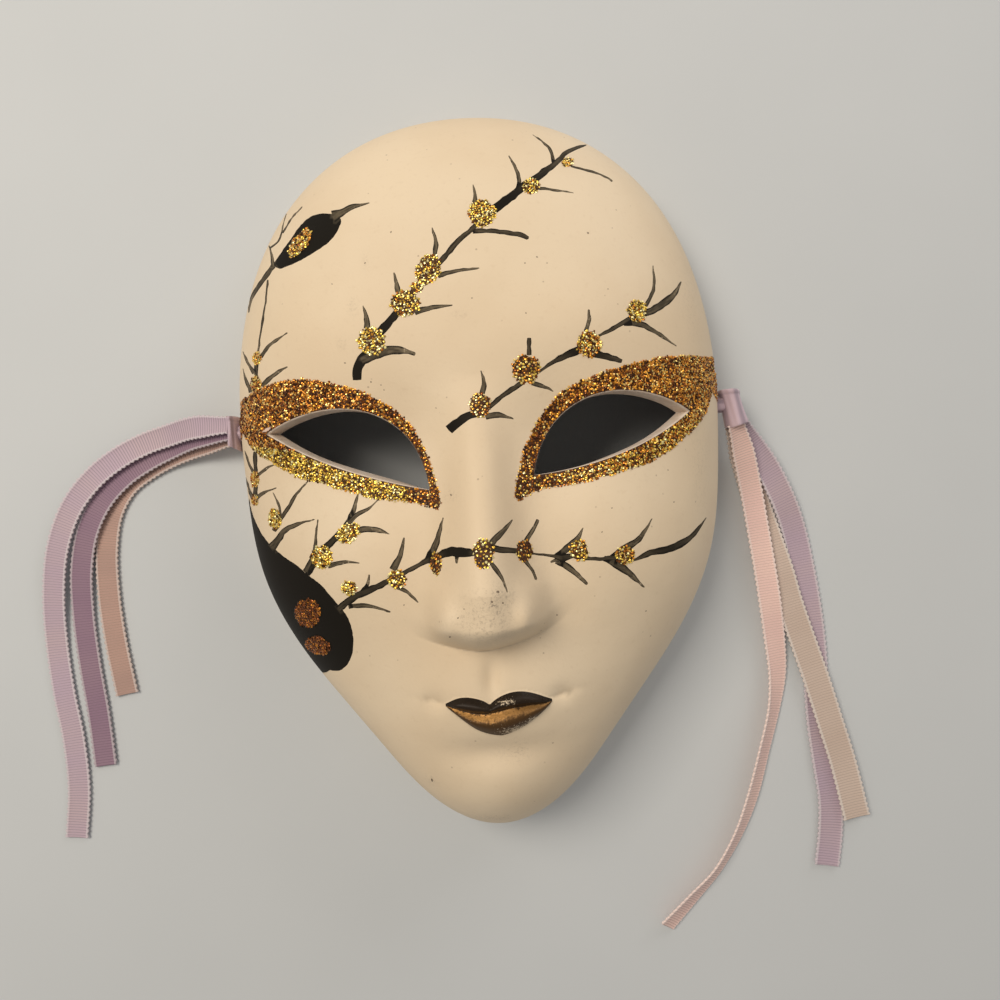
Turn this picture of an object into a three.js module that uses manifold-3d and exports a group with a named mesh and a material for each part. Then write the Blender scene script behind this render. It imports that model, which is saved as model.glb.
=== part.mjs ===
// A hollow ceramic face mask lying face up on its flat rim, with a bunch of ribbons
// knotted through a hole at each side. Millimetres, +Z up out of the face, +Y to the brow.
import * as THREE from "three";
import { mergeVertices } from "three/addons/utils/BufferGeometryUtils.js";
import Module from "manifold-3d";

const wasm = await Module();
wasm.setup();

// The ceramic shell
const WALL = 3.5;
const DOME_HEIGHT = 40;
const FACE_CENTRE_Y = 6;
// Radii that steer the rim, one every 20 degrees from the chin round to the crown
const RIM_RADII = [95, 70.5, 63, 59.5, 55, 56, 61, 69, 74.5, 75];
const RIM_STEP = Math.PI / 9;
const DOME_FULLNESS = 2.3;
const CHIN_FULLNESS = 1.1;
// The features fade out between these shares of the way from the dome's top to the rim
const FADE = { from: 0.62, to: 0.98 };
// How finely the shell is faceted: rings of triangles, and how far a facet may miss the surface
const SHELL_RINGS = 16;
const FACE_TOLERANCE = 0.16;
const INNER_TOLERANCE = 0.4;

// Nose, mouth and eyes
const NOSE_ROOT_Y = 16;
const NOSE_TIP_Y = -25;
const NOSE_HEIGHT = 13.5;
// The foot of the nose's underside in plan: its lowest place, its slope and roundness beside the
// tip, where it turns up round the wings, and how far above it the underside begins
const NOSE_BASE = {
  x: -1.2,
  y: -37,
  slope: 0.24,
  round: 2.4,
  wingWidth: 13,
  rise: 6.2,
  narrowing: 0.2,
  leastRise: 4,
};
// Along x the corners, the bow, the lowest places of the mouth line and of the lower lip; then
// the line's own place and rise to both corners, and the heights of the lips in plan
const MOUTH = {
  left: -9.2,
  right: 11.4,
  bow: -0.7,
  dip: -2.6,
  low: 1.4,
  y: -48.9,
  leftRise: 1.8,
  rightRise: 1,
  reach: 5,
  upper: 1.5,
  lobe: 1.6,
  lower: 5.2,
};
const EYES = [
  {
    outer: [-44, 8.1],
    inner: [-9.7, -5.7],
    upper: [[-33.5, 12.4], [-12.8, 16]],
    lower: [[-33, 1.2], [-22, -3.2]],
    slant: { upper: 0.5, lower: 1.8 },
  },
  {
    outer: [44, 7.7],
    inner: [10.4, -4],
    upper: [[36, 12.6], [14.6, 17]],
    lower: [[34.5, 0.6], [22.5, -3.4]],
    slant: { upper: 0.5, lower: 1.1 },
  },
];

// The side holes and the ribbons through them
const SIDE_HOLE = { radius: 2.5, y: 10.6, z: 8.6, fromX: 44, toX: 64 };
const NECK_RADIUS = 1.9;
const STOP = { x: 47.7, thick: 1.9, wide: 3.4, tall: 3.6 };
const RIBBON_THICKNESS = 0.7;
const RIBBON_STEP = 9;

const clamp = (value, low, high) => Math.min(high, Math.max(low, value));

// 0 below the first edge, 1 above the second, smooth between
function ease(from, to, value) {
  const t = clamp((value - from) / (to - from), 0, 1);
  return t * t * (3 - 2 * t);
}

// A soft round swelling at a place, and the same at both sides of the face
const swelling = (x, y, cx, cy, wx, wy) =>
  Math.exp(-(((x - cx) / wx) ** 2) - ((y - cy) / wy) ** 2);
const twinSwelling = (x, y, cx, cy, wx, wy) =>
  swelling(x, y, cx, cy, wx, wy) + swelling(x, y, -cx, cy, wx, wy);

// Distance from the face's centre to the rim, as a smooth curve through the steering radii
function rimRadius(angle) {
  const last = RIM_RADII.length - 1;
  const turn = (((angle + Math.PI / 2) % (2 * Math.PI)) + 2 * Math.PI) % (2 * Math.PI);
  const place = Math.min(turn, 2 * Math.PI - turn) / RIM_STEP;
  const i = Math.floor(place);
  const s = place - i;
  const radius = (k) => {
    const folded = Math.abs(k);
    return RIM_RADII[folded > last ? 2 * last - folded : folded];
  };
  return (
    ((1 - s) ** 3 * radius(i - 1) +
      (3 * s ** 3 - 6 * s ** 2 + 4) * radius(i) +
      (-3 * s ** 3 + 3 * s ** 2 + 3 * s + 1) * radius(i + 1) +
      s ** 3 * radius(i + 2)) /
    6
  );
}

// The dome is fuller toward the chin than toward the brow
const fullness = (angle) =>
  DOME_FULLNESS + CHIN_FULLNESS * Math.max(0, -Math.sin(angle)) ** 2;

// The nose: a ridge that widens to the tip and two wings, rounded over to the foot of its
// underside. Inside the mask the base of the nose falls away softly
function nose(x, y, isOutside) {
  const along = clamp((NOSE_ROOT_Y - y) / (NOSE_ROOT_Y - NOSE_TIP_Y), 0, 1);
  const halfWidth = 4.6 + 3.4 * along ** 1.5;
  const ridge = NOSE_HEIGHT * along ** 1.25 * Math.exp(-((Math.abs(x) / halfWidth) ** 2.2));
  const wings = 5 * twinSwelling(x, y, 7.8, -29.8, 3, 4.8);
  if (!isOutside) return (ridge + wings) * ease(-35, -25, y);
  const aside = Math.abs(x - NOSE_BASE.x);
  const besideTip = NOSE_BASE.slope * (Math.hypot(aside, NOSE_BASE.round) - NOSE_BASE.round);
  const foot = NOSE_BASE.y + besideTip + (aside / NOSE_BASE.wingWidth) ** 4;
  const rise = Math.max(NOSE_BASE.leastRise, NOSE_BASE.rise - NOSE_BASE.narrowing * aside);
  return (ridge + wings) * Math.sin((Math.PI / 2) * clamp((y - foot) / rise, 0, 1));
}

// Full lips with a deep bow: two upper lobes and one lower one meeting at the mouth line
function lips(x, y) {
  if (x <= MOUTH.left || x >= MOUTH.right) return 0;
  const rise = x < MOUTH.dip ? MOUTH.leftRise : MOUTH.rightRise;
  const line = MOUTH.y + rise * (1 - Math.exp(-(((x - MOUTH.dip) / MOUTH.reach) ** 2)));
  if (y > line) {
    const corner = x < MOUTH.bow ? MOUTH.left : MOUTH.right;
    const away = (x - MOUTH.bow) / (corner - MOUTH.bow);
    const lobe = MOUTH.lobe * Math.sin(Math.PI * away ** 0.75);
    const upper = (MOUTH.upper + lobe) * (1 - 0.7 * away ** 5);
    return 1.5 * Math.sin(Math.PI * clamp((y - line) / upper, 0, 1)) * Math.min(1, upper / 2);
  }
  const corner = x < MOUTH.low ? MOUTH.left : MOUTH.right;
  const away = (x - MOUTH.low) / (corner - MOUTH.low);
  const lower = MOUTH.lower * (1 - away ** (x < MOUTH.low ? 1.2 : 1.8));
  const fullness = Math.sqrt(1 - away ** 2);
  return 2 * Math.sin(Math.PI * clamp((line - y) / lower, 0, 1) ** 0.85) * fullness;
}

// Height of the soft features over the plain dome
function softRelief(x, y) {
  return (
    nose(x, y, false) -
    3.2 * twinSwelling(x, y, 15, 3, 8, 11) + // eye sockets
    1.2 * twinSwelling(x, y, 22, 24, 16, 9) + // brows
    2.0 * twinSwelling(x, y, 27, -22, 15, 14) + // cheeks
    3.2 * swelling(x, y, 0, -49, 15, 11) - // round of the mouth
    1.6 * swelling(x, y, 0, -57.5, 9, 3.2) + // dip under the lip
    3.0 * swelling(x, y, 0, -67, 11, 8) // chin
  );
}

// The same with the features that only the outside shows
function fullRelief(x, y) {
  return (
    softRelief(x, y) +
    nose(x, y, true) -
    nose(x, y, false) +
    lips(x, y) -
    1.1 * swelling(x, y, 0, -42.5, 1.7, 3.6) - // groove under the nose
    0.7 * twinSwelling(x - 1.1, y, 12.4, -46.8, 2.4, 1.8) // mouth corners
  );
}

// A point of the face for a place in the unit disc: the disc's edge is the rim
function facePoint([a, b], relief) {
  const out = Math.min(1, Math.hypot(a, b));
  const angle = Math.atan2(b, a);
  const power = 2 / fullness(angle);
  const reach = rimRadius(angle) * Math.sin((out * Math.PI) / 2) ** power;
  const x = reach * Math.cos(angle);
  const y = FACE_CENTRE_Y + reach * Math.sin(angle);
  if (out > 1 - 1e-9) return new THREE.Vector3(x, y, 0);
  const dome = DOME_HEIGHT * Math.cos((out * Math.PI) / 2) ** power;
  return new THREE.Vector3(x, y, dome + relief(x, y) * (1 - ease(FADE.from, FADE.to, out)));
}

// The place in the disc of the face point over (x, y)
function discPlace(x, y) {
  const angle = Math.atan2(y - FACE_CENTRE_Y, x);
  const share = Math.min(1, Math.hypot(x, y - FACE_CENTRE_Y) / rimRadius(angle));
  const out = Math.asin(share ** (fullness(angle) / 2)) / (Math.PI / 2);
  return [out * Math.cos(angle), out * Math.sin(angle)];
}

// The inner face keeps one wall's thickness from the outer one
function innerPoint([a, b]) {
  const nudge = 1e-4;
  const shrink = Math.hypot(a, b) > 1 - nudge ? 1 - nudge : 1;
  const at = [a * shrink, b * shrink];
  const point = facePoint(at, softRelief);
  const alongA = facePoint([at[0] - nudge, at[1]], softRelief).sub(point).negate();
  const alongB = facePoint([at[0], at[1] - nudge], softRelief).sub(point).negate();
  point.addScaledVector(alongA.cross(alongB).normalize(), -WALL);
  if (Math.hypot(a, b) > 1 - 1e-9) point.z = 0;
  return point;
}

// A disc of even triangles: ring k holds 6k places
function discMesh(rings) {
  const places = [[0, 0]];
  const triangles = [];
  const first = (ring) => (ring === 0 ? 0 : 1 + 3 * ring * (ring - 1));
  const index = (ring, k) => first(ring) + (ring === 0 ? 0 : k % (6 * ring));
  for (let ring = 1; ring <= rings; ring++) {
    for (let k = 0; k < 6 * ring; k++) {
      const angle = (Math.PI * k) / (3 * ring);
      places.push([(ring / rings) * Math.cos(angle), (ring / rings) * Math.sin(angle)]);
    }
    for (let side = 0; side < 6; side++) {
      for (let k = 0; k < ring; k++) {
        const outer = side * ring + k;
        const inner = side * (ring - 1) + k;
        triangles.push([index(ring - 1, inner), index(ring, outer), index(ring, outer + 1)]);
        if (k < ring - 1) {
          triangles.push([
            index(ring - 1, inner),
            index(ring, outer + 1),
            index(ring - 1, inner + 1),
          ]);
        }
      }
    }
  }
  return { places, triangles };
}

// Splits every edge whose middle lies off the surface, so the triangles crowd the features
function refineDisc({ places, triangles }, surface, tolerance, rounds) {
  const points = places.map(surface);
  const onRim = (place) => Math.hypot(...place) > 1 - 1e-9;
  for (let round = 0; round < rounds; round++) {
    const middles = new Map();
    const middle = (i, j) => {
      const key = i < j ? `${i} ${j}` : `${j} ${i}`;
      if (!middles.has(key)) {
        const place = [(places[i][0] + places[j][0]) / 2, (places[i][1] + places[j][1]) / 2];
        const point = surface(place);
        const chord = points[i].clone().add(points[j]).multiplyScalar(0.5);
        const rimEdge = onRim(places[i]) && onRim(places[j]);
        if (rimEdge || point.distanceTo(chord) < tolerance) {
          middles.set(key, -1);
        } else {
          middles.set(key, places.push(place) - 1);
          points.push(point);
        }
      }
      return middles.get(key);
    };
    const next = [];
    for (const [i, j, k] of triangles) {
      next.push(...splitTriangle([i, j, k], [middle(i, j), middle(j, k), middle(k, i)], points));
    }
    triangles = next;
  }
  return { points, triangles };
}

// One, two, three or four triangles, for each way the edges of one can be split
function splitTriangle([a, b, c], [ab, bc, ca], points) {
  const count = (ab >= 0) + (bc >= 0) + (ca >= 0);
  if (count === 0) return [[a, b, c]];
  if (count === 3) return [[a, ab, ca], [ab, b, bc], [ca, bc, c], [ab, bc, ca]];
  const leading = count === 1 ? ab >= 0 : ca < 0;
  if (!leading) return splitTriangle([b, c, a], [bc, ca, ab], points);
  if (count === 1) return [[a, ab, c], [ab, b, c]];
  const shortWay = points[a].distanceTo(points[bc]) < points[ab].distanceTo(points[c]);
  return shortWay
    ? [[ab, b, bc], [a, ab, bc], [a, bc, c]]
    : [[ab, b, bc], [a, ab, c], [ab, bc, c]];
}

function geometryOf(points, triangles) {
  const geometry = new THREE.BufferGeometry();
  geometry.setAttribute(
    "position",
    new THREE.Float32BufferAttribute(points.flatMap((p) => [p.x, p.y, p.z]), 3),
  );
  geometry.setIndex(triangles.flat());
  return geometry;
}

// To and from the library that joins and cuts closed meshes
function solidOf(geometry) {
  const bare = geometry.clone();
  bare.deleteAttribute("normal");
  bare.deleteAttribute("uv");
  const merged = mergeVertices(bare, 1e-4);
  return new wasm.Manifold(
    new wasm.Mesh({
      numProp: 3,
      vertProperties: merged.attributes.position.array,
      triVerts: new Uint32Array(merged.index.array),
    }),
  );
}

function geometryFrom(solid) {
  const mesh = solid.getMesh();
  const geometry = new THREE.BufferGeometry();
  geometry.setAttribute("position", new THREE.BufferAttribute(mesh.vertProperties, 3));
  geometry.setIndex(new THREE.BufferAttribute(mesh.triVerts, 1));
  return geometry;
}

// The uncut shell: outer face, inner face and the flat rim that joins them
function blankShell() {
  const rings = SHELL_RINGS;
  const outerFace = (place) => facePoint(place, fullRelief);
  const outer = refineDisc(discMesh(rings), outerFace, FACE_TOLERANCE, 3);
  const inner = refineDisc(discMesh(rings), innerPoint, INNER_TOLERANCE, 1);
  const points = [...outer.points, ...inner.points];
  const shift = outer.points.length;
  const triangles = [...outer.triangles];
  for (const [i, j, k] of inner.triangles) triangles.push([i + shift, k + shift, j + shift]);
  const rimFirst = 1 + 3 * rings * (rings - 1);
  const rimCount = 6 * rings;
  for (let k = 0; k < rimCount; k++) {
    const here = rimFirst + k;
    const next = rimFirst + ((k + 1) % rimCount);
    triangles.push([here, here + shift, next + shift], [here, next + shift, next]);
  }
  return solidOf(geometryOf(points, triangles));
}

// The almond outline of an eye in plan, from the outer corner over the top and back below
function eyeOutline(eye, steps) {
  const corner = (at) => new THREE.Vector2(...at);
  const upper = new THREE.CubicBezierCurve(
    corner(eye.outer), corner(eye.upper[0]), corner(eye.upper[1]), corner(eye.inner),
  );
  const lower = new THREE.CubicBezierCurve(
    corner(eye.inner), corner(eye.lower[1]), corner(eye.lower[0]), corner(eye.outer),
  );
  const outline = [];
  for (let k = 0; k < 2 * steps; k++) {
    const isUpper = k < steps;
    const t = (k % steps) / steps;
    const point = (isUpper ? upper : lower).getPoint(t);
    const slant = isUpper
      ? -eye.slant.upper * Math.sin(Math.PI * t)
      : eye.slant.lower * Math.sin(Math.PI * Math.sqrt(t)) ** 3;
    outline.push({ x: point.x, y: point.y, slant });
  }
  return outline;
}

// The plug cut out of the wall for an eye: square to the face but for the slant of the cut
function eyeCutter(eye) {
  const steps = 16;
  const reach = 1.3;
  const outline = eyeOutline(eye, steps);
  const middle = {
    x: (eye.outer[0] + eye.inner[0]) / 2,
    y: (eye.outer[1] + eye.inner[1]) / 2 + 2,
    slant: 0,
  };
  const ends = [...outline, middle].map(({ x, y, slant }) => {
    const place = discPlace(x, y);
    const outer = facePoint(place, softRelief);
    const inner = innerPoint(place);
    inner.y += slant;
    const through = outer.clone().sub(inner);
    return {
      top: outer.addScaledVector(through, reach),
      bottom: inner.addScaledVector(through, -reach),
    };
  });
  const count = outline.length;
  const points = [...ends.map((end) => end.top), ...ends.map((end) => end.bottom)];
  const triangles = [];
  const towardInner = Math.sign(eye.inner[0] - eye.outer[0]);
  for (let k = 0; k < count; k++) {
    const next = (k + 1) % count;
    const below = count + 1;
    const faces = [
      [count, next, k],
      [below + count, below + k, below + next],
      [k, next, below + next],
      [k, below + next, below + k],
    ];
    for (const face of faces) triangles.push(towardInner > 0 ? face : face.reverse());
  }
  return solidOf(geometryOf(points, triangles));
}

// A cylinder along X through the side wall
function sideCylinder(radius, fromX, toX, sides) {
  const geometry = new THREE.CylinderGeometry(radius, radius, Math.abs(toX - fromX), sides);
  geometry.rotateZ(Math.PI / 2);
  geometry.translate((fromX + toX) / 2, SIDE_HOLE.y, SIDE_HOLE.z);
  return solidOf(geometry);
}

function maskShell() {
  let shell = blankShell();
  for (const eye of EYES) shell = shell.subtract(eyeCutter(eye));
  for (const side of [-1, 1]) {
    const { radius, fromX, toX } = SIDE_HOLE;
    shell = shell.subtract(sideCylinder(radius, side * fromX, side * toX, 20));
  }
  return geometryFrom(shell);
}

// A knot: a wound barrel outside the wall, a neck through the hole and a stop inside
function knotGeometry({ side, x, radius, halfLength, depth }) {
  const barrel = new THREE.LatheGeometry(
    [
      new THREE.Vector2(0, -halfLength),
      new THREE.Vector2(radius * 0.72, -halfLength),
      new THREE.Vector2(radius * 0.97, -halfLength * 0.72),
      new THREE.Vector2(radius, 0),
      new THREE.Vector2(radius * 0.93, halfLength * 0.7),
      new THREE.Vector2(radius * 0.66, halfLength),
      new THREE.Vector2(0, halfLength),
    ],
    16,
  );
  barrel.scale(1, 1, depth / radius);
  barrel.translate(side * x, SIDE_HOLE.y, SIDE_HOLE.z);
  const stop = new THREE.SphereGeometry(1, 14, 8);
  stop.scale(STOP.thick, STOP.wide, STOP.tall);
  stop.translate(side * STOP.x, SIDE_HOLE.y, SIDE_HOLE.z);
  const neck = sideCylinder(NECK_RADIUS, side * STOP.x, side * x, 12);
  return geometryFrom(solidOf(barrel).add(neck).add(solidOf(stop)));
}

// A flat band swept along a route of [x, y, z, tilt in degrees]
function ribbonGeometry(route, width) {
  const curve = new THREE.CatmullRomCurve3(route.map(([x, y, z]) => new THREE.Vector3(x, y, z)));
  const tilts = new THREE.CatmullRomCurve3(route.map(([, , , tilt]) => new THREE.Vector3(tilt)));
  const steps = Math.round(curve.getLength() / RIBBON_STEP);
  const edge = width / 2;
  const flat = edge - 0.4;
  const skin = RIBBON_THICKNESS / 2;
  const section = [
    [edge, -skin / 3], [edge, skin / 3], [flat, skin], [-flat, skin],
    [-edge, skin / 3], [-edge, -skin / 3], [-flat, -skin], [flat, -skin],
  ];
  const points = [];
  for (let k = 0; k <= steps; k++) {
    const along = curve.getTangent(k / steps);
    const across = new THREE.Vector3(along.y, -along.x, 0).normalize();
    const tilt = THREE.MathUtils.degToRad(tilts.getPoint(k / steps).x);
    across.applyAxisAngle(along, tilt);
    const up = new THREE.Vector3().crossVectors(across, along);
    for (const [aside, above] of section) {
      const point = curve.getPoint(k / steps);
      points.push(point.addScaledVector(across, aside).addScaledVector(up, above));
    }
  }
  const sides = section.length;
  const triangles = [];
  for (let i = 0; i < sides; i++) {
    const j = (i + 1) % sides;
    for (let ring = 0; ring < steps * sides; ring += sides) {
      triangles.push([ring + i, ring + j + sides, ring + j]);
      triangles.push([ring + i, ring + i + sides, ring + j + sides]);
    }
    const end = steps * sides;
    if (i > 0 && i < sides - 1) {
      triangles.push([0, i, j], [end, end + j, end + i]);
    }
  }
  return geometryOf(points, triangles);
}

const RIBBON_COLOURS = {
  pink: 0xeec2a9,
  cream: 0xd9c3ab,
  lilac: 0xb79bb4,
  mauve: 0x8f6f7e,
  peach: 0xc99a80,
};

// Each tail's route lies on the table or on the tail below it
const TAILS = [
  {
    name: "ribbon_right_pink", colour: "pink", width: 5,
    route: [
      [58.7, 6.1, 10.3, 0], [61.1, -0.5, 7, 0], [63.4, -9.6, 3.9, 0], [64.8, -19.2, 3.1, 0],
      [65.8, -28, 3.1, 0], [66.6, -36.5, 3.1, 0], [67.5, -46, 2.2, -10], [67.8, -54, 1.7, -24],
      [66.4, -62, 2.1, -40], [63.3, -72, 2.5, -44], [59.8, -83, 2.5, -43],
      [56, -91.5, 2.6, -48], [50.5, -100, 2.6, -50], [44.5, -106.3, 2.3, -42],
      [37.7, -113.2, 2, -33],
    ],
  },
  {
    name: "ribbon_right_cream", colour: "cream", width: 6,
    route: [
      [59.5, 5.9, 6.6, 0], [62.4, -1.6, 2.6, 0], [65.5, -12.5, 1, 0], [68, -21.9, 1.5, 0],
      [70, -29.2, 1.8, 0], [71.9, -37.5, 1.8, 0], [74.5, -46.8, 1.8, 0], [77.2, -56.2, 1.8, 0],
      [79.8, -66.3, 1.8, 0], [82.3, -76.2, 1.8, 0], [84.9, -89.8, 1.8, 0],
    ],
  },
  {
    name: "ribbon_right_lilac", colour: "lilac", width: 5.6,
    route: [
      [60.3, 5.9, 8.4, 0], [63.9, 1, 5.3, 0], [67.8, -4.5, 3.4, 0], [71.6, -12.5, 2.2, 0],
      [73.6, -18, 1.2, 0], [75, -24, 0.6, 0], [76.6, -36, 0.6, 0], [77.4, -46.8, 0.6, 0],
      [77.5, -56.5, 0.6, 0], [77.6, -66.3, 0.6, 0],
      [78.4, -76, 0.6, 0], [79.3, -85.8, 0.6, 0], [78.8, -93.5, 0.6, 0], [77.5, -101.5, 0.6, 0],
    ],
  },
  {
    name: "ribbon_left_lilac", colour: "lilac", width: 5,
    route: [
      [-57.9, 12.5, 10.4, 0], [-67.3, 12.7, 7, 0], [-74.6, 11.5, 4.1, 0], [-80.4, 10, 3.2, 0],
      [-86.6, 7.2, 3.1, 0], [-92.9, 2.8, 3.1, 0], [-98.8, -4, 3, 0], [-103, -13.5, 2.6, 0],
      [-105.2, -25, 1.6, 0], [-105.6, -37, 0.7, 0], [-104.6, -49, 0.6, 0],
      [-103, -60, 0.6, 0], [-102.4, -72, 0.6, 0], [-103.6, -84, 0.6, 0],
    ],
  },
  {
    name: "ribbon_left_mauve", colour: "mauve", width: 5,
    route: [
      [-58, 11.1, 8.7, 0], [-67.6, 10.6, 5.1, 0], [-74.9, 8.6, 2.5, 0], [-81, 6, 1.9, 0],
      [-86.8, 2.4, 1.9, 0], [-92, -2.8, 1.9, 0], [-96, -10, 1.8, 0], [-98.3, -19.5, 1.3, 0],
      [-98.8, -30, 0.7, 0], [-98, -42, 0.6, 0], [-96.6, -54, 0.6, 0], [-95.6, -67, 0.6, 0],
    ],
  },
  {
    name: "ribbon_left_peach", colour: "peach", width: 5,
    route: [
      [-58.2, 9.9, 7, 0], [-67.6, 8.8, 3.1, 0], [-75.2, 6.8, 1.1, 0], [-81.3, 4, 0.6, 0],
      [-86.6, 0.2, 0.6, 0], [-90.4, -5.9, 0.6, 0], [-92.2, -14.5, 0.6, 0], [-92.4, -25, 0.6, 0],
      [-91.4, -37, 0.6, 0], [-89.4, -50, 0.6, 0],
    ],
  },
];

const part = new THREE.Group();

function addPiece(name, geometry, colour, roughness) {
  const material = new THREE.MeshStandardMaterial({ color: colour, roughness, metalness: 0 });
  const mesh = new THREE.Mesh(geometry, material);
  mesh.name = name;
  part.add(mesh);
}

addPiece("mask_shell", maskShell(), 0xe9dcc3, 0.7);
addPiece(
  "ribbon_knot_right",
  knotGeometry({ side: 1, x: 58.2, radius: 2.4, halfLength: 3.4, depth: 3.4 }),
  RIBBON_COLOURS.lilac,
  0.6,
);
addPiece(
  "ribbon_knot_left",
  knotGeometry({ side: -1, x: 56.6, radius: 0.95, halfLength: 3.4, depth: 3.4 }),
  RIBBON_COLOURS.lilac,
  0.6,
);
for (const tail of TAILS) {
  addPiece(tail.name, ribbonGeometry(tail.route, tail.width), RIBBON_COLOURS[tail.colour], 0.6);
}

export default part;
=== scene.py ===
"""A hollow ceramic face mask lying face up, painted with thorny twigs, with gold glitter round
its eyes and on its berries, bronze lips and a bunch of ribbons knotted at each temple."""

import math

import bmesh
import bpy
import numpy as np
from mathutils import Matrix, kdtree
from mathutils.geometry import delaunay_2d_cdt


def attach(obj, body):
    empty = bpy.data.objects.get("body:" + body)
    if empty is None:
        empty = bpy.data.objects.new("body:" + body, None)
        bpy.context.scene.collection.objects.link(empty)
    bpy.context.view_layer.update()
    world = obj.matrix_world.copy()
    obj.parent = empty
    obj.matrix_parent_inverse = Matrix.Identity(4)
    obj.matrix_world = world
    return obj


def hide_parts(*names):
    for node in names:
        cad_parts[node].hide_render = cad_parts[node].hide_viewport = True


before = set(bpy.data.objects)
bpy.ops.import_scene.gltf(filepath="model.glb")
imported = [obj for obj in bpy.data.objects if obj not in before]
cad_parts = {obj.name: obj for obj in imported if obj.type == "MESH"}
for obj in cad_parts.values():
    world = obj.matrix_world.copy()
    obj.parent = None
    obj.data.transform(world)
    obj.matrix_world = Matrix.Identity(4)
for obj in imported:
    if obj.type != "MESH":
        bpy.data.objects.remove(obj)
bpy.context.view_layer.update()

MM = 0.001
random = np.random.default_rng(731)

# The camera, in mm: it looks straight down on the face, a little turned
CAMERA_AT = (3.6, -8.4, 185.0)
CAMERA_ROLL = math.radians(3.4)
FOCAL_PIXELS = 760.0
PICTURE_PIXELS = 1000
SENSOR_WIDTH = 36.0
CLIP_START = 0.005

# The floor, the sky and the lights: place, aim, size in metres, power in watts and colour
FLOOR_HALF = 2.0
FLOOR_COLOURS = ((0.58, 0.61, 0.64), (0.62, 0.65, 0.68))
SKY_COLOUR = (1.0, 0.95, 0.88, 1)
SKY_STRENGTH = 0.33
LIGHTS = {
    "key": ((-0.27, 0.21, 0.58), (0, 0.01, 0.02), 0.3, 2.75, (1.0, 0.90, 0.76)),
    "fill": ((0.40, 0.50, 0.25), (0, 0, 0.02), 0.4, 1.2, (1.0, 0.95, 0.9)),
}

# The ceramic shell, in mm, as in the part's source
WALL = 3.5
DOME_HEIGHT = 40.0
FACE_CENTRE_Y = 6.0
RIM_RADII = np.array([95, 70.5, 63, 59.5, 55, 56, 61, 69, 74.5, 75])
RIM_STEP = math.pi / 9
DOME_FULLNESS = 2.3
CHIN_FULLNESS = 1.1
# The features fade out between these shares of the way to the rim
FADE = (0.62, 0.98)
# How far apart on the disc the points are taken that give a normal
SHARP_STEP = 0.0015
SOFT_STEP = 0.004
NOSE_ROOT_Y = 16.0
NOSE_TIP_Y = -25.0
NOSE_HEIGHT = 13.5
NOSE_BRIDGE_HALF = 4.6
NOSE_WIDENING = 3.4
NOSE_BASE = {
    "x": -1.2, "y": -37, "slope": 0.24, "round": 2.4, "wing_width": 13,
    "rise": 6.2, "narrowing": 0.2, "least_rise": 4,
}
MOUTH = {
    "left": -9.2, "right": 11.4, "bow": -0.7, "dip": -2.6, "low": 1.4, "y": -48.9,
    "left_rise": 1.8, "right_rise": 1.0, "reach": 5.0, "upper": 1.5, "lobe": 1.6, "lower": 5.2,
    "upper_swell": 1.5, "lower_swell": 2.0,
}
# The face's soft forms, as (height, x, y, half width, half height): on both sides, or single
PAIRED_FORMS = {
    "socket": (-3.2, 15, 3, 8, 11),
    "brow": (1.2, 22, 24, 16, 9),
    "cheek": (2.0, 27, -22, 15, 14),
    "nose_wing": (5, 7.8, -29.8, 3, 4.8),
}
SINGLE_FORMS = {
    "mouth": (3.2, 0, -49, 15, 11),
    "under_lip": (-1.6, 0, -57.5, 9, 3.2),
    "chin": (3.0, 0, -67, 11, 8),
    "philtrum": (-1.1, 0, -42.5, 1.7, 3.6),
}
EYES = {
    "left": {
        "outer": (-44, 8.1), "inner": (-9.7, -5.7),
        "upper": ((-33.5, 12.4), (-12.8, 16)), "lower": ((-33, 1.2), (-22, -3.2)),
        "slant": (0.5, 1.8),
    },
    "right": {
        "outer": (44, 7.7), "inner": (10.4, -4),
        "upper": ((36, 12.6), (14.6, 17)), "lower": ((34.5, 0.6), (22.5, -3.4)),
        "slant": (0.5, 1.1),
    },
}
SIDE_HOLE = {"radius": 2.5, "y": 10.6, "z": 8.6}
SIDE_HOLE_ANGLE = 0.08
STOP = {"x": 47.7, "thick": 1.9, "wide": 3.4, "tall": 3.6}
NECK_RADIUS = 1.9
KNOTS = {
    "ribbon_knot_right": {
        "side": 1, "x": 58.6, "y": 9.8, "wide": 2.5, "half": 4.1, "deep": 3.5, "lean": 0.8,
    },
    "ribbon_knot_left": {
        "side": -1, "x": 56.9, "y": 10.7, "wide": 1.3, "half": 3.7, "deep": 3.7, "lean": 0,
    },
}
# A knot's outline from its hollow lower end round to its rolled upper rim, as shares of its
# width and its half length
KNOT_PROFILE = [
    (0.0, -0.70), (0.5, -0.70), (0.78, -0.78), (0.90, -0.93), (0.97, -0.99), (1.0, -0.90),
    (0.97, -0.55), (0.93, 0.0), (0.90, 0.5), (0.90, 0.70), (0.96, 0.80), (0.97, 0.91),
    (0.88, 0.99), (0.72, 0.97), (0.45, 0.86), (0.0, 0.80),
]

# The two colours that each ribbon drifts between. The mauve and the peach are partly the tails' own
# colour and partly painted shade, darker than the lilac and the pink
RIBBON_COLOURS = {
    "pink": ((0.97, 0.695, 0.63), (0.92, 0.64, 0.60)),
    "cream": ((0.70, 0.565, 0.49), (0.64, 0.505, 0.43)),
    "lilac": ((0.55, 0.425, 0.53), (0.59, 0.46, 0.51)),
    "mauve": ((0.30, 0.185, 0.27), (0.34, 0.22, 0.29)),
    "peach": ((0.56, 0.36, 0.30), (0.46, 0.30, 0.26)),
}
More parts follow.
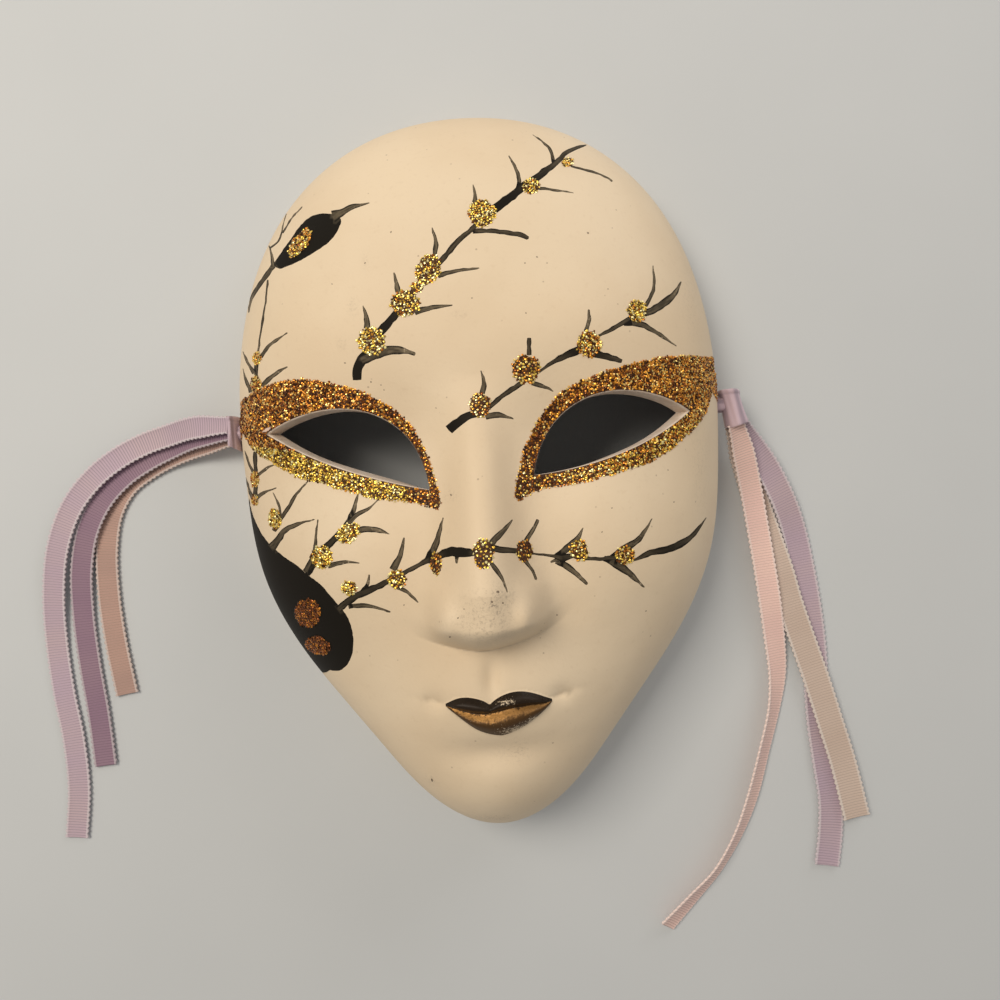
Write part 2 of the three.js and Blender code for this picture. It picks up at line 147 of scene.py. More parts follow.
# The tails, in mm: width, route of (x, y, z) and, where a tail turns over, its tilt in degrees
TAILS = {
    "ribbon_right_pink": {
        "colour": "pink",
        "width": 5,
        "route": [
            (58.7, 6.1, 10.3), (61.1, -0.5, 7), (63.4, -9.6, 3.9), (64.8, -19.2, 3.1),
            (65.8, -28, 3.1), (66.6, -36.5, 3.1), (67.5, -46, 2.2), (67.8, -54, 1.7),
            (66.4, -62, 2.1), (63.3, -72, 2.5), (59.8, -83, 2.5), (56, -91.5, 2.6),
            (50.5, -100, 2.6), (44.5, -106.3, 2.3), (37.7, -113.2, 2),
        ],
        "tilts": [0] * 6 + [-10, -24, -40, -44, -43, -48, -50, -42, -33],
    },
    "ribbon_right_cream": {
        "colour": "cream",
        "width": 6,
        "route": [
            (59.5, 5.9, 6.6), (62.4, -1.6, 2.6), (65.5, -12.5, 1), (68, -21.9, 1.5),
            (70, -29.2, 1.8), (71.9, -37.5, 1.8), (74.5, -46.8, 1.8), (77.2, -56.2, 1.8),
            (79.8, -66.3, 1.8), (82.3, -76.2, 1.8), (84.9, -89.8, 1.8),
        ],
    },
    "ribbon_right_lilac": {
        "colour": "lilac",
        "width": 5.6,
        "route": [
            (60.3, 5.9, 8.4), (63.9, 1, 5.3), (67.8, -4.5, 3.4), (71.6, -12.5, 2.2),
            (73.6, -18, 1.2), (75, -24, 0.6), (76.6, -36, 0.6), (77.4, -46.8, 0.6),
            (77.5, -56.5, 0.6), (77.6, -66.3, 0.6), (78.4, -76, 0.6), (79.3, -85.8, 0.6),
            (78.8, -93.5, 0.6), (77.5, -101.5, 0.6),
        ],
    },
    "ribbon_left_lilac": {
        "colour": "lilac",
        "width": 5,
        "route": [
            (-57.9, 12.5, 10.4), (-67.3, 12.7, 7), (-74.6, 11.5, 4.1), (-80.4, 10, 3.2),
            (-86.6, 7.2, 3.1), (-92.9, 2.8, 3.1), (-98.8, -4, 3), (-103, -13.5, 2.6),
            (-105.2, -25, 1.6), (-105.6, -37, 0.7), (-104.6, -49, 0.6), (-103, -60, 0.6),
            (-102.4, -72, 0.6), (-103.6, -84, 0.6),
        ],
    },
    "ribbon_left_mauve": {
        "colour": "mauve",
        "width": 5,
        "route": [
            (-58, 11.1, 8.7), (-67.6, 10.6, 5.1), (-74.9, 8.6, 2.5), (-81, 6, 1.9),
            (-86.8, 2.4, 1.9), (-92, -2.8, 1.9), (-96, -10, 1.8), (-98.3, -19.5, 1.3),
            (-98.8, -30, 0.7), (-98, -42, 0.6), (-96.6, -54, 0.6), (-95.6, -67, 0.6),
        ],
    },
    "ribbon_left_peach": {
        "colour": "peach",
        "width": 5,
        "route": [
            (-58.2, 9.9, 7), (-67.6, 8.8, 3.1), (-75.2, 6.8, 1.1), (-81.3, 4, 0.6),
            (-86.6, 0.2, 0.6), (-90.4, -5.9, 0.6), (-92.2, -14.5, 0.6), (-92.4, -25, 0.6),
            (-91.4, -37, 0.6), (-89.4, -50, 0.6),
        ],
    },
}
# A tail's fine form, in metres: ribs across it, looped edges, and a section a little cupped
RIB_PITCH = 0.00064
RIB_HEIGHT = 0.00005
PICOT_PITCH = 0.0013
PICOT_REACH = 0.00030
RIBBON_STEP = 0.00016
RIBBON_HALF_THICK = 0.00020
EDGE_RISE = 0.00008
EDGE_FALL = 0.00010
CUP_DEPTH = 0.00035
GATHERED_WAY = 0.009
LEAST_HEIGHT = 0.00012
SECTION_SHARES = np.array([0, 0.3, 0.6, 0.84, 0.9, 0.96, 1.0])
# Points round and along a knot's barrel, neck and lump, and their lanes on the baked chart
BARREL_SIDES = 96
NECK_SIDES = 48
NECK_RINGS = 25
KNOT_TURNS = 2.5
KNOT_LANES = ((0.02, 0.5), (0.53, 0.68), (0.71, 0.98))

# Small helpers


def ease(low, high, value):
    t = np.clip((value - low) / (high - low), 0, 1)
    return t * t * (3 - 2 * t)


def unit(vectors):
    return vectors / np.maximum(np.linalg.norm(vectors, axis=-1, keepdims=True), 1e-12)


def catmull_rom(points, samples, dimensions=3):
    """Points along a centripetal curve through rows of numbers, whose first columns are places."""
    rows = np.asarray(points, float)
    rows = np.vstack([2 * rows[0] - rows[1], rows, 2 * rows[-1] - rows[-2]])
    out = []
    for i in range(1, len(rows) - 2):
        p0, p1, p2, p3 = rows[i - 1 : i + 3]
        chords = np.linalg.norm(np.array([p1 - p0, p2 - p1, p3 - p2])[:, :dimensions], axis=1)
        dt = np.sqrt(np.maximum(chords, 1e-9))
        m1 = (p1 - p0) / dt[0] - (p2 - p0) / (dt[0] + dt[1]) + (p2 - p1) / dt[1]
        m2 = (p2 - p1) / dt[1] - (p3 - p1) / (dt[1] + dt[2]) + (p3 - p2) / dt[2]
        t = np.linspace(0, 1, samples, endpoint=False)[:, None]
        a = 2 * (p1 - p2) + (m1 + m2) * dt[1]
        b = 3 * (p2 - p1) - (2 * m1 + m2) * dt[1]
        out.append(((a * t + b) * t + m1 * dt[1]) * t + p1)
    out.append(rows[-2][None, :])
    return np.vstack(out)


def resample(rows, step, dimensions):
    """Rows of numbers at even steps along the way that their first columns make."""
    chords = np.linalg.norm(np.diff(rows[:, :dimensions], axis=0), axis=1)
    way = np.concatenate([[0], np.cumsum(chords)])
    count = max(2, int(round(way[-1] / step)) + 1)
    places = np.linspace(0, way[-1], count)
    return np.column_stack([np.interp(places, way, column) for column in rows.T]), places


def inside(points, polygon):
    """For each point of the plane, whether the closed polygon holds it."""
    result = np.zeros(len(points), bool)
    near = (points >= polygon.min(axis=0)) & (points <= polygon.max(axis=0))
    index = np.nonzero(near.all(axis=1))[0]
    if not len(index):
        return result
    px, py = points[index].T
    odd = np.zeros(len(index), bool)
    for (x0, y0), (x1, y1) in zip(polygon, np.roll(polygon, -1, axis=0)):
        crosses = (y0 > py) != (y1 > py)
        if crosses.any():
            at = x0 + (py[crosses] - y0) * (x1 - x0) / (y1 - y0)
            odd[crosses] ^= px[crosses] < at
    result[index] = odd
    return result


def quads_between(near, far):
    """Faces between closed rings of points and the rings that follow them, by point number."""
    quads = [near, np.roll(near, -1, axis=-1), np.roll(far, -1, axis=-1), far]
    return np.stack(quads, axis=-1).reshape(-1, 4)


def tube_quads(rings, sides):
    """Faces of a tube whose points are counted ring by ring."""
    index = np.arange(rings * sides).reshape(rings, sides)
    return quads_between(index[:-1], index[1:])


# Node materials


class Look:
    """A Principled material and short ways to feed it."""

    def __init__(self, name, **plain):
        self.material = bpy.data.materials.new(name)
        self.material.use_nodes = True
        self.tree = self.material.node_tree
        self.shader = self.tree.nodes["Principled BSDF"]
        for key, value in plain.items():
            self.shader.inputs[key.replace("_", " ")].default_value = value

    def node(self, kind, inputs=None, **settings):
        node = self.tree.nodes.new(kind)
        for key, value in settings.items():
            setattr(node, key, value)
        for key, value in (inputs or {}).items():
            self.feed(node.inputs[key], value)
        return node

    def feed(self, socket, value):
        if isinstance(value, bpy.types.NodeSocket):
            self.tree.links.new(value, socket)
        else:
            socket.default_value = value

    def place(self):
        """Object coordinates in millimetres."""
        coordinates = self.node("ShaderNodeTexCoord").outputs["Object"]
        return self.mapped(coordinates, (1 / MM, 1 / MM, 1 / MM))

    def mapped(self, vector, scale):
        return self.node("ShaderNodeMapping", {"Vector": vector, "Scale": scale}).outputs["Vector"]

    def map_uv(self, name):
        return self.node("ShaderNodeUVMap", uv_map=name).outputs["UV"]

    def noise(self, vector, scale, detail=2.0, roughness=0.5):
        inputs = {"Vector": vector, "Scale": scale, "Detail": detail, "Roughness": roughness}
        return self.node("ShaderNodeTexNoise", inputs).outputs["Fac"]

    def cells(self, vector, scale):
        inputs = {"Vector": vector, "Scale": scale}
        return self.node("ShaderNodeTexVoronoi", inputs).outputs["Distance"]

    def math(self, operation, a, b=0.0, c=0.0):
        node = self.node("ShaderNodeMath", operation=operation)
        for socket, value in zip(node.inputs, (a, b, c)):
            self.feed(socket, value)
        return node.outputs[0]

    def times(self, a, b):
        return self.math("MULTIPLY", a, b)

    def ramp(self, value, low, high, start=0.0, end=1.0):
        """A smooth step of the value between two edges."""
        node = self.node("ShaderNodeMapRange", interpolation_type="SMOOTHSTEP")
        for socket, number in zip(node.inputs, (value, low, high, start, end)):
            self.feed(socket, number)
        return node.outputs[0]

    def mix(self, share, first, second):
        node = self.node("ShaderNodeMix", data_type="RGBA")
        self.feed(node.inputs["Factor"], share)
        for socket, colour in zip((node.inputs[6], node.inputs[7]), (first, second)):
            self.feed(socket, (*colour, 1) if isinstance(colour, tuple) else colour)
        return node.outputs[2]

    def split(self, map_name):
        """The two values that a map holds for each corner of the mesh."""
        node = self.node("ShaderNodeSeparateXYZ", {"Vector": self.map_uv(map_name)})
        return node.outputs[0], node.outputs[1]

    def joined(self, x, y, z=0.0):
        return self.node("ShaderNodeCombineXYZ", {"X": x, "Y": y, "Z": z}).outputs[0]

    def bump(self, height, strength, distance):
        inputs = {"Height": height, "Strength": strength, "Distance": distance}
        self.feed(self.shader.inputs["Normal"], self.node("ShaderNodeBump", inputs).outputs["Normal"])

    def set(self, name, value):
        self.feed(self.shader.inputs[name], value)


def new_mesh(name, vertices, faces, materials, face_materials=None, normals=None, maps=None):
    """A mesh object from vertices in metres. normals and maps hold one row for each corner."""
    mesh = bpy.data.meshes.new(name)
    mesh.from_pydata(np.asarray(vertices, float).tolist(), [], [list(map(int, f)) for f in faces])
    for material in materials:
        mesh.materials.append(material)
    if face_materials is not None:
        mesh.polygons.foreach_set("material_index", np.asarray(face_materials, np.int32))
    mesh.polygons.foreach_set("use_smooth", np.ones(len(mesh.polygons), bool))
    for key, values in (maps or {}).items():
        layer = mesh.uv_layers.new(name=key)
        layer.data.foreach_set("uv", np.asarray(values, np.float32).ravel())
    mesh.update()
    if normals is not None:
        mesh.normals_split_custom_set(np.asarray(normals, float).tolist())
    piece = bpy.data.objects.new(name, mesh)
    bpy.context.scene.collection.objects.link(piece)
    return piece


# Camera, floor and light


def make_camera():
    data = bpy.data.cameras.new("camera")
    data.sensor_width = SENSOR_WIDTH
    data.lens = SENSOR_WIDTH * FOCAL_PIXELS / PICTURE_PIXELS
    data.clip_start = CLIP_START
    camera = bpy.data.objects.new("camera", data)
    camera.location = [c * MM for c in CAMERA_AT]
    camera.rotation_euler = (0, 0, -CAMERA_ROLL)
    bpy.context.scene.collection.objects.link(camera)
    bpy.context.scene.camera = camera


def make_floor():
    look = Look("floor", Roughness=0.8)
    look.set("Base Color", look.mix(look.noise(look.place(), 0.02, 3.0), *FLOOR_COLOURS))
    corners = [(FLOOR_HALF * x, FLOOR_HALF * y, 0) for x, y in ((-1, -1), (1, -1), (1, 1), (-1, 1))]
    floor = new_mesh("floor", corners, [(0, 1, 2, 3)], [look.material])
    floor.location.z = -0.0001


def make_light(name, at, aim, size, power, colour):
    data = bpy.data.lights.new(name, "AREA")
    data.size = size
    data.energy = power
    data.color = colour
    light = bpy.data.objects.new(name, data)
    light.location = at
    direction = np.array(aim) - np.array(at)
    flat = math.hypot(direction[0], direction[1])
    light.rotation_euler = (math.atan2(flat, -direction[2]), 0, math.atan2(-direction[0], direction[1]))
    bpy.context.scene.collection.objects.link(light)


def make_lights():
    for name, settings in LIGHTS.items():
        make_light(name, *settings)
    world = bpy.data.worlds.new("world")
    world.use_nodes = True
    sky = world.node_tree.nodes["Background"]
    sky.inputs["Color"].default_value = SKY_COLOUR
    sky.inputs["Strength"].default_value = SKY_STRENGTH
    bpy.context.scene.world = world
    bpy.context.scene.view_settings.view_transform = "Standard"


# Ribbons


def ribbon_look(name):
    """Ribbed satin: the threads run across, the grooves between them are darkened as painted shade, the
    colour drifts along, the picot edge is paler.
    """
    main, other = RIBBON_COLOURS[name]
    look = Look(f"ribbon_{name}", Roughness=0.62, Sheen_Weight=0.25, Sheen_Roughness=0.4)
    along, across = look.split("Thread")
    drift = look.noise(look.joined(along, across), 0.07)
    colour = look.mix(look.ramp(drift, 0.3, 0.7), main, other)
    rib = look.math("SINE", look.times(along, 2 * math.pi * MM / RIB_PITCH))
    # The grooves between the ribs are darker: painted shade, over the ribs' small relief
    groove_shade = look.ramp(rib, -1.0, 0.1, 1.0, 0.0)
    dark = tuple(0.58 * c for c in main)
    colour = look.mix(look.times(groove_shade, 0.8), colour, dark)
    edge = look.ramp(look.math("ABSOLUTE", across), 0.82, 0.92)
    pale = tuple(0.35 * c + 0.65 * 0.84 for c in main)
    colour = look.mix(look.times(edge, 0.55), colour, pale)
    look.set("Base Color", colour)
    grid = look.mapped(look.map_uv("Thread"), (14.0, 9.0, 1.0))
    look.bump(look.noise(grid, 1.0, 1.0), 0.25, 0.00008)
    return look.material


def tail_section(way, width):
    """The section's shares of the half width, once round, and each one's reach and lift.

    The shares go from edge to edge over the upper side and back under the lower one.
    """
    gather = 0.72 + 0.28 * ease(0.0, GATHERED_WAY, way)
    rib = np.cos(2 * np.pi * way / RIB_PITCH)
    picot = 0.5 + 0.5 * np.cos(2 * np.pi * way / PICOT_PITCH)
    back = SECTION_SHARES[:0:-1]
    shares = np.array([*-back, *SECTION_SHARES, *back, *-SECTION_SHARES])
    reaches, lifts = [], []
    for place, share in enumerate(shares):
        size = abs(share)
        loop = PICOT_REACH * picot * ease(0.86, 1.0, size) * np.sign(share)
        thick = RIBBON_HALF_THICK + RIB_HEIGHT * rib * (1 - ease(0.8, 0.88, size))
        thick = thick + EDGE_RISE * ease(0.82, 0.9, size) - EDGE_FALL * ease(0.93, 1.0, size)
        cup = CUP_DEPTH * (share**2 - 0.4) * (1 - 0.5 * gather)
        reaches.append(width / 2 * share * gather + loop)
        lifts.append(cup + thick if place < len(shares) // 2 else cup - thick)
    return shares, np.array(reaches), np.array(lifts)


def make_tail(name, tail, look):
    """A thin band with ribs across it and a looped edge, swept along the tail's route."""
    # In metres, to the micrometre
    width = round(tail["width"] * MM, 6)
    route = np.round(np.array(tail["route"]) * MM, 6)
    tilts = np.broadcast_to(tail.get("tilts", 0), len(route))
    path, way = resample(catmull_rom(np.column_stack([route, tilts]), 40), RIBBON_STEP, 3)
    centre = path[:, :3]
    length = way[-1]
    along = unit(np.gradient(centre, axis=0))
    across = unit(np.column_stack([along[:, 1], -along[:, 0], np.zeros(len(along))]))
    tilt = np.radians(path[:, 3])[:, None]
    across = unit(across * np.cos(tilt) + np.cross(along, across) * np.sin(tilt))
    above = unit(np.cross(across, along))
    shares, reaches, lifts = tail_section(way, width)
    rows = [
        centre + across * reach[:, None] + above * lift[:, None]
        for reach, lift in zip(reaches, lifts)
    ]
    grid = np.stack(rows, axis=1)
    grid[..., 2] = np.maximum(grid[..., 2], LEAST_HEIGHT)
    rings, sides = grid.shape[:2]
    faces = tube_quads(rings, sides)
    place = np.stack(np.broadcast_arrays(way[:, None] / MM, shares[None, :]), axis=-1)
    corners = place.reshape(-1, 2)[faces.ravel()]
    # On the baked chart the upper and the lower side lie in lanes of their own
    is_lower = np.tile(np.arange(sides) >= sides // 2, rings - 1)
    lane = 0.25 + 0.5 * is_lower
    bake = np.column_stack([corners[:, 0] * MM / length, np.repeat(lane, 4) + 0.22 * corners[:, 1]])
    first, last = np.arange(sides)[::-1], np.arange(sides) + (rings - 1) * sides
    cap_place = np.vstack([place[0, ::-1], place[-1]])
    cap_bake = np.column_stack([cap_place[:, 0] * MM / length, 0.5 + 0.01 * cap_place[:, 1]])
    piece = new_mesh(
        name.replace("ribbon_", "tail_"),
        grid.reshape(-1, 3),
        [*faces, first, last],
        [look],
        maps={"Thread": np.vstack([corners, cap_place]), "OFBake": np.vstack([bake, cap_bake])},
    )
    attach(piece, "root")
    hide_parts(name)


def make_ribbons():
    looks = {name: ribbon_look(name) for name in RIBBON_COLOURS}
    for name, tail in TAILS.items():
        make_tail(name, tail, looks[tail["colour"]])
    for name, knot in KNOTS.items():
        make_knot(name, knot, looks["lilac"])


def wound_form(rings, lane):
    """A closed form from rings of points in mm, with its quads and two maps for their corners."""
    along, around = rings.shape[:2]
    row = np.repeat(np.arange(along - 1), around)
    column = np.tile(np.arange(around), along - 1)
    u = np.stack([column, column + 1, column + 1, column], axis=-1) / around
    v = np.stack([row, row, row + 1, row + 1], axis=-1) / (along - 1)
    thread = np.stack([KNOT_TURNS * u, 1.6 * v - 0.8], axis=-1)
    bake = np.stack([0.02 + 0.96 * u, lane[0] + (lane[1] - lane[0]) * v], axis=-1)
    return rings.reshape(-1, 3), tube_quads(along, around), thread, bake


def knot_rings(knot):
    """The barrel outside the wall, the neck through its hole and the lump inside, as rings."""
    side = knot["side"]
    outline = catmull_rom(KNOT_PROFILE, 5, 2)
    turn, place = np.meshgrid(
        np.linspace(0, 2 * np.pi, BARREL_SIDES, endpoint=False), outline[:, 1]
    )
    width = np.repeat(outline[:, :1], BARREL_SIDES, axis=1)
    pleats = 1 + 0.03 * np.sin(5 * turn + 0.8 * place) + 0.018 * np.sin(11 * turn - 1.5 * place)
    slant = 0.7 * np.cos(turn + 0.4) * side * ease(0.5, 0.9, width) * ease(0.2, -0.8, place)
    barrel = [
        side * (knot["x"] - knot["lean"] * place) + knot["wide"] * width * pleats * np.cos(turn),
        knot["y"] + knot["half"] * place + slant,
        SIDE_HOLE["z"] + knot["deep"] * width * pleats * np.sin(turn),
    ]
    turn, place = np.meshgrid(
        np.linspace(0, 2 * np.pi, NECK_SIDES, endpoint=False),
        np.sin(np.linspace(-np.pi / 2, np.pi / 2, NECK_RINGS)),
    )

    def through_wall(x, half, thick, tall, across):
        """A form round the line through the cord hole, from one end point to the other."""
        return [
            side * x + half * place,
            SIDE_HOLE["y"] + thick * across * np.cos(turn),
            SIDE_HOLE["z"] + tall * across * np.sin(turn),
        ]

    folds = 1 - 0.12 * np.abs(np.sin(2.5 * turn + 1.5 * place))
    half_way = (knot["x"] - STOP["x"]) / 2
    folded = folds * np.sqrt(np.clip(1 - place**8, 0, 1))
    neck = through_wall(STOP["x"] + half_way, half_way, NECK_RADIUS, NECK_RADIUS, folded)
    lumps = 1 - 0.1 * np.abs(np.sin(1.5 * turn + 2.5 * place)) - 0.05 * np.sin(3 * turn)
    lumpy = np.sqrt(np.clip(1 - place**2, 0, 1)) * lumps
    stop = through_wall(STOP["x"], STOP["thick"], STOP["wide"], STOP["tall"], lumpy)
    return [np.stack(form, axis=-1) for form in (barrel, neck, stop)]


def make_knot(name, knot, look):
    """Ribbon wound into a short cuff against the wall, drawn through its hole to a lump inside."""
    points, quads, threads, bakes = [], [], [], []
    total = 0
    for rings, lane in zip(knot_rings(knot), KNOT_LANES):
        form, faces, thread, bake = wound_form(rings, lane)
        corners = form[faces]
        cross = np.cross(corners[:, 2] - corners[:, 0], corners[:, 3] - corners[:, 1])
        if np.sum(cross * (corners.mean(axis=1) - form.mean(axis=0)), axis=1).mean() < 0:
            faces, thread, bake = faces[:, ::-1], thread[:, ::-1], bake[:, ::-1]
        points.append(form)
        quads.append(faces + total)
        threads.append(thread.reshape(-1, 2))
        bakes.append(bake.reshape(-1, 2))
        total += len(form)
    piece = new_mesh(
        name.replace("ribbon_", ""),
        np.vstack(points) * MM,
        np.vstack(quads),
        [look],
        maps={"Thread": np.vstack(threads), "OFBake": np.vstack(bakes)},
    )
    # The rings that end in one point are closed there
    form = bmesh.new()
    form.from_mesh(piece.data)
    bmesh.ops.remove_doubles(form, verts=form.verts, dist=1e-7)
    form.to_mesh(piece.data)
    form.free()
    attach(piece, "root")
    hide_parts(name)


# What is painted on the face, in the photograph's pixels. A brush stroke is rows of
# (x, y, width), an outline is rows of (x, y) and a blot is (x, y, half width, half height, turn).

STROKES = {
    "forehead_stem": [
        [
            (357, 380, 9), (357, 370, 10), (362, 360, 10), (368, 352, 8), (374, 340, 8), (383, 329, 9),
            (394, 316, 8), (405, 303, 7), (417, 287, 6), (428, 272, 5.5), (440, 262, 5.5),
            (452, 248, 5.5), (462, 237, 5.5), (470, 231, 5), (476, 225, 5), (485, 216, 7),
            (495, 209, 9), (508, 199, 9), (519, 190, 8), (528, 183, 7), (534, 180, 8), (545, 171, 7),
            (556, 163, 6), (566, 153, 4.5), (576, 148, 3.2), (586, 145, 1),
        ],
        [(362, 360, 9), (374, 355, 10), (386, 351, 10), (399, 350, 8), (409, 352, 4.5), (415, 354, 3)],
    ],
    "forehead_thorn": [
        [(367, 328, 7), (366, 316, 4), (363, 306, 1.4)],
        [(398, 292, 6), (396, 282, 4), (394, 273, 1.4)],
        [(434, 258, 5), (436, 243, 4.4), (432, 228, 1.2)],
        [(475, 202, 5), (475, 194, 3.5), (473, 185, 1.2)],
        [(518, 190, 5), (519, 178, 4), (515, 167, 3), (509, 156, 1)],
        [(554, 163, 4), (550, 150, 3), (543, 142, 2), (533, 135, 1)],
        [(415, 312, 7), (430, 308, 5), (452, 305, 1.4)],
        [(438, 276, 5), (455, 271, 4), (479, 268, 1.3)],
        [(473, 231, 4.5), (490, 231, 4.5), (510, 233, 4.5), (522, 235, 4.8), (528, 238, 4)],
        [(536, 188, 3), (555, 190, 2.5), (573, 193, 1)],
        [(571, 166, 2.2), (590, 171, 2.2), (604, 176, 2.2), (612, 181, 1.6)],
    ],
    "brow_stem": [
        [
            (449, 430, 10), (457, 423, 8.5), (468, 416, 8), (477, 413, 7), (490, 406, 5),
            (505, 394, 5), (520, 384, 5), (539, 372, 3), (553, 362, 4.5), (563, 357, 6.5),
            (578, 350, 8), (589, 343, 5), (599, 336, 3), (612, 329, 4), (624, 322, 5), (632, 317, 4),
        ],
    ],
    "brow_thorn": [
        [(482, 394, 6), (484, 383, 4.5), (481, 371, 1.4)],
        [(529, 355, 5), (529, 346, 4.6), (529, 338, 4)],
        [(586, 331, 4.5), (589, 319, 4), (588.5, 310, 2)],
        [(646, 306, 4), (653, 291, 3.6), (654, 278, 2.6), (653, 266, 1)],
        [(486, 416, 7), (500, 415, 5), (513, 419, 1.4)],
        [(532, 383, 5), (545, 387, 3.6), (553, 391, 1.2)],
        [(590, 353, 8), (608, 357, 7), (622, 361, 4)],
        [(640, 316, 5), (655, 309, 8), (668, 300, 7), (675, 293, 5), (681, 282, 1.2)],
        [(624, 323, 5), (640, 324, 6), (652, 330, 5), (665, 338, 3), (676, 346, 1.2)],
    ],
    "cheek_stem": [
        [
            (339, 609, 6), (346, 603, 7), (356, 596, 7), (370, 590, 7), (383, 584, 6), (391, 579, 5),
            (400, 575, 5), (413, 568, 4.5), (424, 562, 5), (432, 559, 9), (438, 556, 7),
            (450, 552, 9.5), (461, 552, 10), (472, 553, 7), (478, 553, 5), (489, 549, 7),
            (505, 550, 6), (518, 551, 6), (529, 553, 3), (545, 555, 2.8), (554, 556, 3),
            (562, 558, 7), (573, 556, 5), (585, 558, 4), (600, 559, 3.6), (608, 558, 4),
            (618, 558, 5), (634, 560, 3), (650, 553, 6), (665, 550, 7.5), (680, 544, 7),
            (692, 536, 5), (706, 518, 1),
        ],
    ],
    "cheek_thorn": [
        [(361, 593, 5), (367, 586, 4), (369, 575, 1.4)],
        [(393, 570, 8), (400, 556, 5.5), (404, 538, 1.4)],
        [(427, 562, 8), (435, 546, 7), (439, 533, 4.5), (443, 518, 1.3)],
        [(489, 546, 7), (500, 534, 6), (507, 527, 4), (512, 520, 1.3)],
        [(526, 541, 5), (533, 530, 4), (538, 520, 3.5)],
        [(557, 557, 8), (570, 546, 7), (578, 538, 5), (583, 528, 1.3)],
        [(610, 559, 6), (625, 548, 7), (637, 541, 5.5), (645, 531, 4), (652, 519, 1.2)],
        [(349, 606, 5), (370, 606, 4), (390, 612, 1.2)],
        [(396, 587, 4.5), (407, 592, 3.6), (418, 602, 1.2)],
        [(489, 561, 4.5), (498, 572, 4), (503, 580, 3), (507, 592, 1.2)],
        [(525, 560, 4), (532, 570, 3), (536, 579, 2.2)],
        [(557, 560, 7), (573, 571, 5.5), (587, 584, 2.5)],
        [(604, 558, 6), (618, 565, 8), (630, 574, 6), (644, 587, 1.4)],
        [(457, 555, 5), (457, 563, 2.2)],
        [(560, 558, 5), (551, 562, 2)],
    ],
    "bud": [
        [(333, 216, 12), (343, 212, 7), (352, 207, 5), (360, 205, 3), (369, 203, 1)],
        [(273, 266, 5), (266, 276, 4.6), (258, 287, 4), (252, 298, 3), (248.5, 312, 1.5)],
        [(268, 280, 1.6), (266, 300, 1.8), (262, 325, 1.8), (259, 345, 2.0), (257, 362, 2.4)],
        [(273, 266, 4), (272, 255, 2.4), (269, 246, 1)],
        [(270, 248, 1.4), (279, 240, 1.6), (283, 225, 1.4), (286, 214, 1)],
        [(283, 233, 1.4), (291, 219, 1.6), (302, 207, 1)],
    ],
    "temple": [
        [(257, 352, 3), (256, 375, 4), (256, 392, 5)],
        [(261, 357, 4), (268, 347, 3.4), (278, 339, 2.6), (287, 333, 1)],
        [(262, 386, 5), (275, 374, 4), (287, 367, 1.2)],
        [(254, 373, 4), (248, 363, 3), (243, 352, 1)],
        [(251, 392, 4), (246, 380, 2.6), (243, 369, 1)],
        [(255, 452, 4), (255.5, 475, 4), (255, 503, 5)],
        [(258, 475, 4), (267, 468, 3), (275, 464, 1)],
        [(254, 501, 5), (263, 493, 3.4), (276, 488, 1)],
        [(254, 474, 3), (249, 463, 2.4), (245, 451, 1)],
        [(253, 500, 3.6), (249, 489, 2.6), (246, 478, 1)],
    ],
    "sprig": [
        [(272, 547, 9), (278, 540, 7), (284, 531, 6), (298, 524, 3.6), (314, 519.5, 1)],
        [(274, 531, 5), (280, 520, 4.6), (288, 508, 3.6), (296, 495, 2.8), (308, 481, 1)],
        [(281, 516, 3), (278, 503, 2.4), (273, 493, 1)],
        [(306, 573, 9), (312, 566, 8), (320, 558, 6)],
        [(306, 571, 5), (311, 560, 4.2), (315, 547, 3.4), (316, 533, 2.6), (318, 520, 1)],
        [(328, 566, 6), (345, 562, 3.4), (359, 563, 1)],
        [(324, 550, 8), (333, 540, 7), (340, 534, 7)],
        [(346, 528, 8), (351, 518, 7), (354, 509, 4.6), (358, 493, 1.2)],
        [(351, 521, 5), (358, 514, 4), (368, 509, 3), (380, 498, 1)],
        [(354, 532, 6), (365, 529, 6), (377, 530, 5), (389, 534, 1.4)],
    ],
}
OUTLINES = {
    "bud": [
        (272, 266), (280, 254), (290, 240), (300, 226), (310, 217), (318, 214), (332, 214),
        (341, 219), (338, 230), (330, 241), (318, 250), (305, 258), (293, 264), (280, 269),
    ],
    "leaf": [
        (249, 498), (252, 512), (258, 527), (266, 540), (273, 547), (283, 556), (295, 564),
        (308, 575), (320, 584), (330, 595), (340, 607), (347, 616), (352, 630), (353.5, 642),
        (352, 655), (346, 666), (338, 671), (330, 670),
    ],
    "left_band": [
        (241, 402), (250, 396), (262, 389), (275, 384), (290, 381), (305, 380), (320, 382),
        (340, 386), (355, 390), (370, 396), (380, 402), (392, 409), (403, 418), (412, 428),
        (418, 438), (424, 450), (430, 463), (434, 478), (439, 492), (440, 503), (438, 509),
        (430, 507), (420, 504), (405, 501), (390, 499.5), (375, 498), (362, 494), (350, 491),
        (335, 487), (320, 482), (305, 479), (295, 475), (283, 468), (272, 461), (262, 456),
        (254, 449), (248, 441), (242, 430),
    ],
    "right_band": [
        (713, 358), (700, 357.5), (680, 357), (660, 358), (650, 361), (635, 364), (620, 368),
        (600, 374), (585, 380), (570, 388), (560, 394), (550, 405), (542, 415), (535, 426),
        (529, 440), (524, 452), (520, 468), (517, 482), (515, 495), (518, 500), (527, 495),
        (535, 491), (550, 487), (570, 484), (585, 481), (600, 477), (615, 473), (630, 468),
        (645, 463), (658, 457), (670, 449), (680, 440), (690, 431), (700, 420), (707, 408),
        (712, 390),
    ],
}
